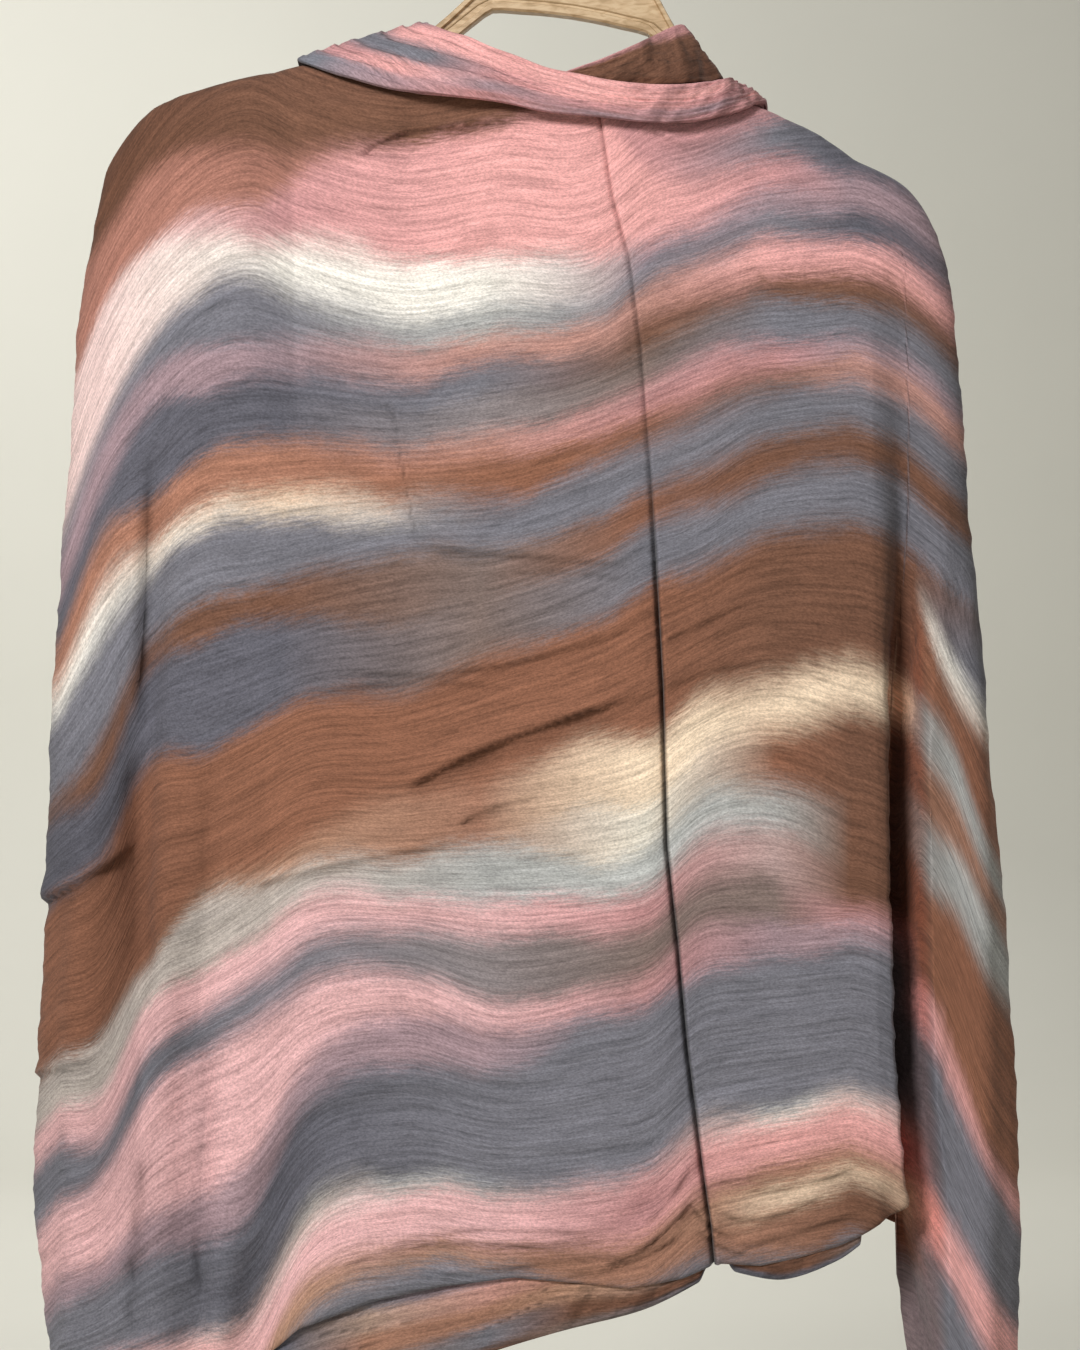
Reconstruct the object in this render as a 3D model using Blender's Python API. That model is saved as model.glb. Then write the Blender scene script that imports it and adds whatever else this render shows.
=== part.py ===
"""A crinkled stole draped over a tilted contour hanger.

The stole's long edge is rolled into a collar that crosses the neck, its middle
hangs as the front, and its two ends go over the shoulders and hang behind.
The origin is where the hook bears on its rail. +X is to the right seen from the
front, +Y runs from front to back and +Z is up. Sizes are in millimetres.
"""

import math

import bmesh
import bpy
import numpy as np
from mathutils import Vector

MM = 0.001

# ---- driving dimensions ------------------------------------------------------
SHARED_ROWS = 18  # rows of faces that all the stretches have at the same levels
SHARED_LEVEL = 10.6  # where those end, above every hem
HEM_ROWS = 5  # rows below them, down to a stretch's own hem
WALL = 1.6  # crinkled cloth, with its crepe standing proud on both faces
SEAM_GAP = 0.4  # between stretches of cloth that lie edge to edge
TUCK_UNDERLAP = 7.0  # how far the left front runs under the pressed tuck
TUCK_LIP = 3.6  # how proud the tuck's folded edge stands
TUCK_REACH = 50.0  # where that lip has died away again

HANGER_TILT = math.radians(8.5)  # the hanger has swung clockwise on its rail
HOOK_BORE = 19.0  # inner radius of the hook
HOOK_THICK = 7.0
HOOK_RISE = 98.0  # the web plate's lower edge up to the centre of the hook
HANGER_THICK = 9.0
HANGER_END_THICK = 18.0
RIM = 4.5  # width of the moulded rim round web and arms
WEB_RECESS = 2.2  # how far the web lies below the rim, on each face

# Horizontal sections round the stole, from the collar down to the tails. The
# upper ones run over the shoulders, so their sides stand higher than the front.
RING_COLUMNS = (
    "left_x", "left_z", "right_x", "right_z", "front_z", "front", "back", "square",
)
RINGS = (
    # left_x left_z right_x right_z front_z front back square
    (-141, -136, 84, -160.5, -164, 30, 22, 2.3),  # under the collar
    (-181, -142.5, 118, -174.5, -188, 34, 27, 2.4),
    (-224, -152, 151, -194.5, -214, 38, 32, 2.4),  # middle of the shoulders
    (-257, -167.5, 180, -212, -242, 42, 36, 2.5),
    (-278, -196, 197, -241, -274, 46, 40, 2.6),  # over the hanger's ends
    (-286, -225, 203, -268, -306, 50, 43, 2.7),
    (-295, -282, 208, -309, -346, 54, 45, 2.8),
    (-300, -355, 211, -360, -401, 59, 49, 3.0),
    (-307, -452, 218, -450, -475, 64, 52, 3.0),
    (-312, -544, 226, -544, -556, 68, 54, 3.0),
    (-314, -619, 233, -619, -628, 70, 55, 3.0),
    (-318, -711, 239, -711, -711, 71, 55, 3.0),
    (-320, -792, 242, -792, -792, 71, 54, 3.0),
    (-311, -875, 241, -875, -875, 70, 52, 2.9),
    (-298, -960, 236, -960, -960, 68, 50, 2.8),  # ends of the tails
)
LAST_RING = len(RINGS) - 1

# Where the guide lines run, as x at a height z on the front.
TUCK_LINE = ((-160, 0), (-224, 9), (-259, 18), (-309, 24), (-393, 30), (-503, 36),
             (-585, 38), (-640, 44), (-694, 49), (-749, 56), (-793, 62), (-960, 78))
RECESS_EDGE = ((-160, 56), (-240, 138), (-280, 150), (-365, 152), (-426, 156),
               (-586, 158), (-724, 163), (-788, 170), (-960, 172))
# The pleat between the front and the right fall: height, depth and width, downwards.
RECESS = ((-160, 0, 12), (-240, 0, 20), (-280, 0, 33), (-365, 5, 34), (-426, 14, 32),
          (-504, 34, 31), (-585, 50, 30), (-670, 57, 28), (-960, 57, 26))
RECESS_SEAM = 0.74  # where on the pleat, across its width, the front gives way to the fall
SIDE_SEAM = -0.62  # left end of the front, as a share of the section's half width
BACK_EDGE_LEFT = -135.0  # inner edges of the two ends, behind the shoulders
BACK_EDGE_RIGHT = 83.0

# Soft folds: x and z at the top, x and z at the foot, half width, depth (inwards is
# negative), and the face they lie on.
FOLD_COLUMNS = ("x_top", "z_top", "x_foot", "z_foot", "half_width", "depth", "face")
FOLDS = (
    (-248, -370, -262, -700, 17, -15, "front"),  # between the left lobe and the front
    (-224, -600, -226, -960, 15, -11, "front"),
    (-140, -760, -222, -930, 22, -13, "front"),  # the hem's folds turning into the tail
    (-120, -190, -60, -180, 26, -5, "front"),  # drag line under the collar
    (-285, -520, -290, -960, 15, 6, "front"),
    (210, -420, 214, -960, 16, 7, "front"),
    (-300, -400, -296, -960, 14, -8, "back"),
    (-258, -260, -262, -960, 18, 8, "back"),
    (-222, -220, -226, -960, 14, -9, "back"),
    (-190, -230, -192, -900, 13, 8, "back"),
    (-160, -220, -162, -860, 12, -8, "back"),
    (214, -360, 218, -960, 13, -8, "back"),
    (180, -280, 190, -960, 16, 8, "back"),
    (148, -250, 156, -900, 13, -9, "back"),
    (116, -230, 118, -860, 12, 8, "back"),
)

# Lower edges: the front's as z at an x, the falls' as z at a share of the way round
# from the front to the inner edge behind.
HEM_FRONT = ((-217, -908), (-196, -877), (-163, -848), (-125, -833), (-86, -824), (-46, -819),
             (17, -825), (46, -820), (67, -811), (89, -813), (111, -809), (133, -803),
             (151, -795), (171, -783), (184, -790), (200, -800))
HEM_LEFT_FALL = ((0.0, -905), (0.12, -935), (0.3, -955), (0.55, -957), (0.8, -885), (1.0, -765))
HEM_RIGHT_FALL = ((0.0, -826), (0.08, -872), (0.17, -930), (0.3, -953), (0.52, -957),
                  (0.68, -900), (0.8, -822), (1.0, -765))
LEFT_TURN_SHARE = 0.5  # where along those hems the cloth turns round the side
RIGHT_TURN_SHARE = 2 / 3

# Rolls of cloth, as a row of cuts: each has its edge next to the neck (or the upper
# one), its other edge, and its thickness.
BAND_COLUMNS = ("near_x", "near_y", "near_z", "far_x", "far_y", "far_z", "thick")
COLLAR = (
    (-112, 42, -262, -134, 43, -262, 3.0),
    (-106, 39, -214, -146, 42, -218, 5.0),
    (-100, 29, -166, -158, 36, -176, 5.5),
    (-96, 14, -128, -168, 20, -147, 5.5),
    (-96, 0, -116.5, -171, 0, -137.5, 5.5),  # over the left shoulder
    (-94, -11, -119, -168, -12, -140, 5.5),
    (-82, -18, -125, -158, -20, -145, 6.0),
    (-71, -25, -130, -142, -29, -152, 7.0),
    (-58, -32, -137.5, -115, -35, -161, 8.0),
    (-43, -37, -144, -88, -39, -165, 8.0),
    (-27, -39, -150.5, -54, -40, -169.5, 8.0),
    (-10, -40, -154, -29, -41, -175, 8.0),
    (8, -40, -157.5, 0, -41, -178, 8.0),
    (26, -40, -159.5, 24, -41, -180.5, 8.0),
    (45, -38, -159.5, 46.5, -40, -181, 8.0),
    (61, -31, -156.5, 65, -36, -177.5, 7.5),
    (72, -20, -152.5, 83, -28, -171, 6.0),
    (77.5, -10, -151, 92.5, -14, -163.5, 5.0),
    (80.5, 0, -151.5, 98.5, 0, -162, 5.0),  # over the right shoulder
    (81, 15, -161, 101, 20, -174, 5.0),
    (79, 28, -188, 103, 34, -196, 5.0),
    (77, 37, -226, 99, 41, -230, 4.5),
    (77, 43, -274, 93, 45, -276, 3.0),
)
COLLAR_PLEATS = 4
NECK_FOLD = (
    (-19, -33.2, -151.5, -20, -33.2, -157, 2.6),
    (-8, -33, -147.5, -8, -33.2, -158.5, 3.0),
    (3, -32.5, -143.5, 8, -33, -159, 3.4),
    (18, -28, -136, 30, -32, -158, 3.6),
    (30, -19, -128.5, 50, -27, -156, 4.0),
    (40, -11, -121.5, 62, -17, -153, 4.0),
    (47.5, -6, -117.5, 70, -7, -149, 4.0),
    (49, 0, -117.2, 73, 0, -147, 4.0),  # over the hanger's right leg
    (50, 8, -122, 74, 7, -151, 4.0),
    (50, 15, -146, 73, 14, -166, 4.0),
    (52, 18, -190, 71, 18, -198, 3.6),
    (55, 20, -226, 68, 20, -228, 2.6),
)
NECK_PLEATS = 3
# The cloth bunched up behind the front's lower edge.
HEM_ROLL_LEFT = (
    (-214, -27, -897, -228, -26, -948, 8.0),
    (-179, -48.5, -853, -186, -49, -910, 11.0),
    (-124, -59, -829, -130, -59, -886, 13.0),
    (-69, -60, -816, -71, -60, -866, 14.0),
    (-22, -61, -810, -23, -61, -851, 13.0),
    (22, -61.5, -809, 26, -61.5, -838, 12.0),
    (58, -62.5, -805, 61, -62.5, -820, 9.0),
)
HEM_ROLL_RIGHT = (
    (70, -62.7, -800, 70, -62.7, -816, 8.0),
    (99, -60.8, -797, 101, -60.8, -822, 10.0),
    (127, -58.8, -790, 130, -58.8, -813, 9.0),
    (144, -57.2, -786, 147, -57.2, -802, 7.0),
)
ROLL_PLEATS = 3

# Half of the hanger's outline in its own plane: distance out from the middle,
# upper edge and lower edge, measured from the web plate's lower edge.
HANGER_COLUMNS = ("out", "top", "foot")
HANGER = (
    (0, 61, 4), (12, 61, 3.7), (18, 59.5, 3.4), (30, 45, 2.4), (39, 34, 1.8), (45, 26.5, 0.8),
    (49, 21.2, -2.2), (56, 11.8, -9.6), (62, 4.2, -16.2), (69, -4.6, -23.2), (76.5, -13.2, -31),
    (81, -19.5, -35), (90, -26.5, -41), (99, -32.5, -47), (124, -43.0, -61), (149.5, -54.0, -75),
    (176, -65.0, -90), (201, -75.5, -105), (212, -83.5, -114), (220, -92.0, -122),
    (225, -100.0, -127.5), (228.5, -111.0, -128.5),
)

COLOURS = {  # base colour, roughness
    "pink": ((0.62, 0.32, 0.32, 1.0), 0.85),
    "slate": ((0.16, 0.17, 0.21, 1.0), 0.85),
    "rust": ((0.27, 0.12, 0.075, 1.0), 0.85),
    "taupe": ((0.22, 0.15, 0.12, 1.0), 0.85),
    "tan_plastic": ((0.56, 0.43, 0.24, 1.0), 0.45),
}


def clear_scene():
    for obj in list(bpy.data.objects):
        bpy.data.objects.remove(obj, do_unlink=True)


def material(name):
    colour, roughness = COLOURS[name]
    found = bpy.data.materials.get(name)
    if found is None:
        found = bpy.data.materials.new(name)
        found.use_nodes = True
        shader = found.node_tree.nodes["Principled BSDF"]
        shader.inputs["Base Color"].default_value = colour
        shader.inputs["Roughness"].default_value = roughness
        shader.inputs["Metallic"].default_value = 0.0
    return found


def smooth_step(low, high, value):
    t = np.clip((value - low) / (high - low), 0.0, 1.0)
    return t * t * (3 - 2 * t)


def spline(rows, t):
    """The row at t, a place between whole rows, on a curve through all of them."""
    rows = np.asarray(rows, float)
    t = min(max(t, 0.0), len(rows) - 1.0)
    i = min(int(t), len(rows) - 2)
    before, after = rows[max(i - 1, 0)], rows[min(i + 2, len(rows) - 1)]
    a, b, f = rows[i], rows[i + 1], t - i
    slope_a, slope_b = (b - before) / 2, (after - a) / 2
    return (
        a * (2 * f**3 - 3 * f**2 + 1)
        + slope_a * (f**3 - 2 * f**2 + f)
        + b * (3 * f**2 - 2 * f**3)
        + slope_b * (f**3 - f**2)
    )


def along(table, key):
    """The second and later columns of a table at a value of its first one, which may fall."""
    rows = np.asarray(sorted(table), float)
    found = [np.interp(key, rows[:, 0], rows[:, i]) for i in range(1, rows.shape[1])]
    return found[0] if len(found) == 1 else found


# ---- the draped surface ------------------------------------------------------
class Ring:
    """One section round the stole. s runs along it, 0 at the front's middle."""

    steps = 720

    def __init__(self, level):
        size = dict(zip(RING_COLUMNS, spline(RINGS, level)))
        turn = np.linspace(-math.pi, math.pi, self.steps + 1)
        power = 2 / size["square"]
        across = np.sign(np.sin(turn)) * np.abs(np.sin(turn)) ** power
        depth = np.sign(np.cos(turn)) * np.abs(np.cos(turn)) ** power
        self.middle = (size["left_x"] + size["right_x"]) / 2
        self.half = (size["right_x"] - size["left_x"]) / 2
        self.x = self.middle + self.half * across
        self.y = np.where(depth > 0, -size["front"], -size["back"]) * depth
        side_z = np.where(across > 0, size["right_z"], size["left_z"])
        weight = np.abs(across) ** 2
        self.z = size["front_z"] * (1 - weight) + side_z * weight
        length = np.hypot(np.diff(self.x), np.diff(self.y))
        self.s = np.concatenate([[0], np.cumsum(length)])
        self.s -= self.s[self.steps // 2]
        quarter = self.steps // 4
        self.front_part = slice(quarter, 3 * quarter + 1)
        self.left_back = slice(0, quarter + 1)
        self.right_back = slice(3 * quarter, self.steps + 1)

    def s_at_front(self, x):
        return float(np.interp(x, self.x[self.front_part], self.s[self.front_part]))

    def s_at_back(self, x):
        part = self.left_back if x < self.middle else self.right_back
        order = np.argsort(self.x[part])
        return float(np.interp(x, self.x[part][order], self.s[part][order]))

    def point(self, s):
        return np.array([np.interp(s, self.s, c) for c in (self.x, self.y, self.z)])

    def outward(self, s, reach=3.0):
        a, b = self.point(s - reach), self.point(s + reach)
        facing = np.array([b[1] - a[1], a[0] - b[0], 0.0])
        return facing / max(np.linalg.norm(facing), 1e-9)


RING_CACHE = {}


def ring(level):
    key = round(float(level), 4)
    if key not in RING_CACHE:
        RING_CACHE[key] = Ring(key)
    return RING_CACHE[key]


def level_at(z):
    """The level whose front stands at height z."""
    levels = np.linspace(0, LAST_RING, 281)
    heights = [-spline(RINGS, t)[4] for t in levels]
    return float(np.interp(-z, heights, levels))


def front_height(level):
    return float(spline(RINGS, level)[4])


def tuck_s(level):
    return ring(level).s_at_front(along(TUCK_LINE, front_height(level)))


def recess_edge_s(level):
    return ring(level).s_at_front(along(RECESS_EDGE, front_height(level)))


def recess_width(level):
    return along(RECESS, front_height(level))[1]


def recess_seam_s(level):
    return recess_edge_s(level) + RECESS_SEAM * recess_width(level)


def lobe_edge_s(level):
    return recess_edge_s(level) + 1.15 * recess_width(level)


def side_seam_s(level):
    here = ring(level)
    return here.s_at_front(here.middle + SIDE_SEAM * here.half)


def left_side_s(level):
    return ring(level).s[ring(level).steps // 4]


def right_side_s(level):
    return ring(level).s[3 * ring(level).steps // 4]


def left_inner_s(level):
    return ring(level).s_at_back(BACK_EDGE_LEFT)


def right_inner_s(level):
    return ring(level).s_at_back(BACK_EDGE_RIGHT)


def recess_depth(level, s):
    depth, width = along(RECESS, front_height(level))
    t = (s - recess_edge_s(level)) / width
    return -depth * smooth_step(0.0, 0.4, t) * (1 - smooth_step(0.5, 1.05, t))


def fold_depth(level, s):
    here = ring(level)
    z = here.point(s)[2]
    total = 0.0
    for row in FOLDS:
        fold = dict(zip(FOLD_COLUMNS, row))
        run = (z - fold["z_top"]) / (fold["z_foot"] - fold["z_top"] + 1e-6)
        if fold["z_foot"] > fold["z_top"]:
            run = (here.point(s)[0] - fold["x_top"]) / (fold["x_foot"] - fold["x_top"])
        if run < -0.25 or run > 1.25:
            continue
        fade = smooth_step(-0.05, 0.3, run)
        if fold["z_foot"] > -959:
            fade *= 1 - smooth_step(0.75, 1.1, run)
        x = fold["x_top"] + (fold["x_foot"] - fold["x_top"]) * run
        if fold["z_foot"] > fold["z_top"]:  # a fold that runs across
            middle_z = fold["z_top"] + (fold["z_foot"] - fold["z_top"]) * run
            away = (z - middle_z) / fold["half_width"]
        elif fold["face"] == "front":
            away = (s - here.s_at_front(x)) / fold["half_width"]
        else:
            away = (s - here.s_at_back(x)) / fold["half_width"]
        if fold["z_foot"] > fold["z_top"] and here.point(s)[1] > 0:
            continue
        total += fold["depth"] * fade * math.exp(-1.6 * away * away)
    return total


def drape(level, s, lip=0.0):
    """A point of the cloth's outer face."""
    here = ring(level)
    out = recess_depth(level, s) + fold_depth(level, s) + lip
    return here.point(s) + here.outward(s) * out


def tuck_lip(level, s):
    t = (s - tuck_s(level)) / TUCK_REACH
    return TUCK_LIP * max(0.0, 1 - t) ** 2


# ---- making solids -----------------------------------------------------------
def new_object(name, bm, colour, smooth=True):
    mesh = bpy.data.meshes.new(name)
    bm.to_mesh(mesh)
    bm.free()
    obj = bpy.data.objects.new(name, mesh)
    bpy.context.scene.collection.objects.link(obj)
    mesh.materials.append(material(colour))
    if smooth:
        mesh.shade_smooth()
    return obj


def facing(level, s, lip):
    """The way the cloth faces, from points a little to each side."""
    across = drape(level, s + 1.5) - drape(level, s - 1.5)
    down = drape(min(level + 0.04, LAST_RING), s) - drape(max(level - 0.04, 0), s)
    normal = np.cross(across, down)
    return -normal / np.linalg.norm(normal)


def cloth_stretch(name, guides, counts, hem, colour, lip=None, hem_span=(0.0, 1.0)):
    """A wall of cloth between guide lines, from under the collar down to its hem.

    guides are functions of the level that give s, counts the columns between them, and
    hem_span says which part of a fall's hem this stretch has.
    """
    stations = [0.0]
    for i, count in enumerate(counts):
        stations += [i + (j + 1) / count for j in range(count)]

    def s_of(level, station):
        i = min(int(station), len(guides) - 2)
        a, b = guides[i](level), guides[i + 1](level)
        return a + (b - a) * (station - i)

    def foot_level(station):
        level = 12.3
        for _ in range(5):
            if hem is HEM_FRONT:
                here = ring(level)
                z = along(hem, float(np.interp(s_of(level, station), here.s, here.x)))
            else:
                share = station / (len(guides) - 1)
                z = along(hem, hem_span[0] + (hem_span[1] - hem_span[0]) * share)
            level = level_at(z)
        return level

    feet = [foot_level(t) for t in stations]
    bm = bmesh.new()
    rows = SHARED_ROWS + HEM_ROWS
    bmesh.ops.create_grid(bm, x_segments=len(stations) - 1, y_segments=rows, size=1.0)
    grown = bmesh.ops.extrude_face_region(bm, geom=bm.faces[:], use_keep_orig=True)
    inner = {v for v in grown["geom"] if isinstance(v, bmesh.types.BMVert)}
    for vert in bm.verts:
        column = round((vert.co.x + 1) / 2 * (len(stations) - 1))
        row = round((1 - vert.co.y) / 2 * rows)
        level = min(row, SHARED_ROWS) / SHARED_ROWS * SHARED_LEVEL
        level += max(row - SHARED_ROWS, 0) / HEM_ROWS * (feet[column] - SHARED_LEVEL)
        s = s_of(level, stations[column])
        proud = lip(level, s) if lip else 0.0
        if vert in inner:
            place = drape(level, s, proud) - facing(level, s, proud) * WALL
        else:
            place = drape(level, s, proud)
        vert.co = Vector(place) * MM
    bmesh.ops.recalc_face_normals(bm, faces=bm.faces)
    return new_object(name, bm, colour)


def band(name, table, pleats, colour, per_row=2, around=16, pleat_depth=1.2):
    """A closed, pleated roll of cloth, from one end of its table to the other."""
    count = (len(table) - 1) * per_row + 1
    cuts = [dict(zip(BAND_COLUMNS, spline(table, i / per_row))) for i in range(count)]
    near = [Vector((cut["near_x"], cut["near_y"], cut["near_z"])) for cut in cuts]
    far = [Vector((cut["far_x"], cut["far_y"], cut["far_z"])) for cut in cuts]
    middle = [(a + b) / 2 for a, b in zip(near, far)]
    bm = bmesh.new()
    loops = []
    for i, cut in enumerate(cuts):
        tangent = (middle[min(i + 1, count - 1)] - middle[max(i - 1, 0)]).normalized()
        half_width = (near[i] - far[i]) / 2
        face = half_width.cross(tangent).normalized()
        half_thick = cut["thick"] / 2
        loop = []
        for j in range(around):
            turn = 2 * math.pi * j / around
            side, lift = math.cos(turn), math.sin(turn)
            ridge = 0.0
            if lift > 0:
                ridge = pleat_depth * math.cos(math.pi * pleats * side) * min(1.0, lift * 1.6)
            bulge = math.copysign(abs(lift) ** 0.6, lift)
            place = middle[i] + half_width * side + face * (half_thick * bulge + ridge)
            loop.append(bm.verts.new(place * MM))
        loops.append(loop)
    for a, b in zip(loops, loops[1:]):
        for j in range(around):
            bm.faces.new((a[j], a[(j + 1) % around], b[(j + 1) % around], b[j]))
    bm.faces.new(loops[0])
    bm.faces.new(loops[-1])
    bmesh.ops.recalc_face_normals(bm, faces=bm.faces)
    return new_object(name, bm, colour)


# ---- the hanger --------------------------------------------------------------
def hanger_place(out, depth, up):
    """A point of the hanger's own plane, swung about the hook's bearing point."""
    up -= HOOK_RISE + HOOK_BORE  # measured from the bearing point, before the swing
    x = out * math.cos(HANGER_TILT) + up * math.sin(HANGER_TILT)
    z = -out * math.sin(HANGER_TILT) + up * math.cos(HANGER_TILT)
    lean = HOOK_BORE * (1 - math.cos(HANGER_TILT))
    return Vector((x + HOOK_BORE * math.sin(HANGER_TILT), depth, z - lean)) * MM


def hanger_section(row):
    """The moulded section at one distance out: a web with a rim along each edge."""
    end = smooth_step(60, 215, abs(row["out"]))
    half = (HANGER_THICK + (HANGER_END_THICK - HANGER_THICK) * end) / 2
    web = half - WEB_RECESS
    tall = row["top"] - row["foot"]
    rim = min(RIM, tall * 0.3)
    top, foot = row["top"], row["foot"]
    front = [(-half, top - 1.2), (-half, top - rim), (-web, top - rim - 1.0),
             (-web, foot + rim + 1.0), (-half, foot + rim), (-half, foot + 1.2)]
    back = [(-y, z) for y, z in reversed(front)]
    return [(-half + 1.2, top)] + front + [(-half + 1.2, foot), (half - 1.2, foot)] + back + [(half - 1.2, top)]


def make_hanger_body():
    right = [dict(zip(HANGER_COLUMNS, row)) for row in HANGER]
    left = [{**row, "out": -row["out"]} for row in reversed(right[1:])]
    rows = left + right
    bm = bmesh.new()
    loops = []
    for row in rows:
        section = hanger_section(row)
        loops.append([bm.verts.new(hanger_place(row["out"], y, z)) for y, z in section])
    for a, b in zip(loops, loops[1:]):
        for j in range(len(a)):
            k = (j + 1) % len(a)
            bm.faces.new((a[j], a[k], b[k], b[j]))
    bm.faces.new(loops[0])
    bm.faces.new(loops[-1])
    bmesh.ops.recalc_face_normals(bm, faces=bm.faces)
    return new_object("hanger", bm, "tan_plastic", smooth=False)


def make_hook():
    radius = HOOK_BORE + HOOK_THICK / 2
    path = [(0.0, 52.0), (0.0, 60.0), (0.8, 65.5), (4.0, 71.0), (8.6, 75.6)]
    for degrees in range(-50, 206, 17):
        angle = math.radians(degrees)
        path.append((radius * math.cos(angle), HOOK_RISE + radius * math.sin(angle)))
    curve = bpy.data.curves.new("hook", "CURVE")
    curve.dimensions = "3D"
    curve.bevel_depth = HOOK_THICK / 2 * MM
    curve.bevel_resolution = 2
    curve.use_fill_caps = True
    line = curve.splines.new("POLY")
    line.points.add(len(path) - 1)
    for point, (out, up) in zip(line.points, path):
        point.co = (*hanger_place(out, 0.0, up), 1.0)
    tube = bpy.data.objects.new("hook_tube", curve)
    mesh = bpy.data.meshes.new_from_object(tube)
    bpy.data.objects.remove(tube)
    obj = bpy.data.objects.new("hook_cut", mesh)
    bpy.context.scene.collection.objects.link(obj)
    bm = bmesh.new()
    bm.from_mesh(mesh)
    bmesh.ops.remove_doubles(bm, verts=bm.verts, dist=0.00002)
    bmesh.ops.recalc_face_normals(bm, faces=bm.faces)
    bm.to_mesh(mesh)
    bm.free()
    obj.hide_render = True
    obj.display_type = "WIRE"
    return obj


def make_hanger():
    body = make_hanger_body()
    join = body.modifiers.new("hook", "BOOLEAN")
    join.operation = "UNION"
    join.solver = "EXACT"
    join.object = make_hook()
    return body


# ---- the stole ---------------------------------------------------------------
def make_front():
    def left_edge(level):
        return side_seam_s(level) + SEAM_GAP / 2

    def under_tuck(level):
        return tuck_s(level) + TUCK_UNDERLAP

    def right_edge(level):
        return recess_seam_s(level) - SEAM_GAP / 2

    cloth_stretch("front_left", (left_edge, under_tuck), (17,), HEM_FRONT, "slate")
    cloth_stretch(
        "front_right", (tuck_s, recess_edge_s, right_edge), (7, 7), HEM_FRONT, "rust", tuck_lip
    )


def make_falls():
    def left_start(level):
        return side_seam_s(level) - SEAM_GAP / 2

    def left_turn(level):
        return left_side_s(level) + SEAM_GAP / 2

    def left_behind_start(level):
        return left_side_s(level) - SEAM_GAP / 2

    def right_start(level):
        return recess_seam_s(level) + SEAM_GAP / 2

    def right_turn(level):
        return right_side_s(level) - SEAM_GAP / 2

    def right_behind_start(level):
        return right_side_s(level) + SEAM_GAP / 2

    cloth_stretch(
        "left_fall", (left_start, left_turn), (11,), HEM_LEFT_FALL, "rust",
        hem_span=(0.0, LEFT_TURN_SHARE),
    )
    cloth_stretch(
        "left_behind", (left_behind_start, left_inner_s), (12,), HEM_LEFT_FALL, "rust",
        hem_span=(LEFT_TURN_SHARE, 1.0),
    )
    cloth_stretch(
        "right_fall", (right_start, lobe_edge_s, right_turn), (4, 6), HEM_RIGHT_FALL, "slate",
        hem_span=(0.0, RIGHT_TURN_SHARE),
    )
    cloth_stretch(
        "right_behind", (right_behind_start, right_inner_s), (12,), HEM_RIGHT_FALL, "slate",
        hem_span=(RIGHT_TURN_SHARE, 1.0),
    )


def make_folded_edges():
    band("collar", COLLAR, COLLAR_PLEATS, "pink")
    band("neck_fold", NECK_FOLD, NECK_PLEATS, "taupe", pleat_depth=0.7, around=14)
    band("hem_roll_left", HEM_ROLL_LEFT, ROLL_PLEATS, "taupe")
    band("hem_roll_right", HEM_ROLL_RIGHT, ROLL_PLEATS, "taupe", around=14)


clear_scene()
make_hanger()
make_front()
make_falls()
make_folded_edges()
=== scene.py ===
# A crinkled viscose stole, space dyed in bands, draped over a tilted contour hanger.
# The frame is in metres. The stole's own sizes are in millimetres: +X right, +Y back, +Z up.
import math

import bmesh
import bpy
import numpy as np
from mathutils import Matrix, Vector


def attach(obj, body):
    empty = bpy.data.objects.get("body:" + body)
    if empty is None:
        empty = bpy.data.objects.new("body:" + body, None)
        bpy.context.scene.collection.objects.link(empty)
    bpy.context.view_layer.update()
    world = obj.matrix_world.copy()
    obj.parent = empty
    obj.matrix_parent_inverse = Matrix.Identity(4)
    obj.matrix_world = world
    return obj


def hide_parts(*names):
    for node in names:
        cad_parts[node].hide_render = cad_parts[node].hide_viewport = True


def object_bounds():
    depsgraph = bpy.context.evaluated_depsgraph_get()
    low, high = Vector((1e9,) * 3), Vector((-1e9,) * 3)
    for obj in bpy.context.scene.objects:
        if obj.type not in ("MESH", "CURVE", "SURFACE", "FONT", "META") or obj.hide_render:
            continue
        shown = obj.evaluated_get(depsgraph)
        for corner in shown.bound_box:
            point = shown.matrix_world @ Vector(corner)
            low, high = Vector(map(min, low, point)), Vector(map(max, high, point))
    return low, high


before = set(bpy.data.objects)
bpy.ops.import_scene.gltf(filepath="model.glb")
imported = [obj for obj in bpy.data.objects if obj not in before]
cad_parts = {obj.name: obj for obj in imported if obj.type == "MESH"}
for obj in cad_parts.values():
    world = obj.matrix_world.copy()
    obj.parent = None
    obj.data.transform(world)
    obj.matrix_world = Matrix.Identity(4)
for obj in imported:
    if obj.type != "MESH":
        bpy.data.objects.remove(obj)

cadLow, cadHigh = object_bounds()
mm = 0.001

# How the picture is framed: a pixel of the 1080 x 1350 image is this many mm at Y = 0.
picture = {
    "mmPerPixel": 0.575,
    "centre": (540.0, 675.0),
    "hookAt": (595.2, -176.6),  # where the origin falls in the image
    "distance": 1400.0,
    "lens": 64.93,
    "sensor": 36.0,
}


def smoothStep(low, high, value):
    # 0 at low and 1 at high, which may stand the other way round
    t = np.clip((value - low) / (high - low), 0.0, 1.0)
    return t * t * (3 - 2 * t)


def inAndOut(span, value):
    # 0 outside the span's first and last places, and 1 from its second to its third
    comesIn, isIn, runsOut, isOut = span
    return smoothStep(comesIn, isIn, value) * (1 - smoothStep(runsOut, isOut, value))


def unit(vectors):
    return vectors / np.maximum(np.linalg.norm(vectors, axis=-1, keepdims=True), 1e-9)


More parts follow.
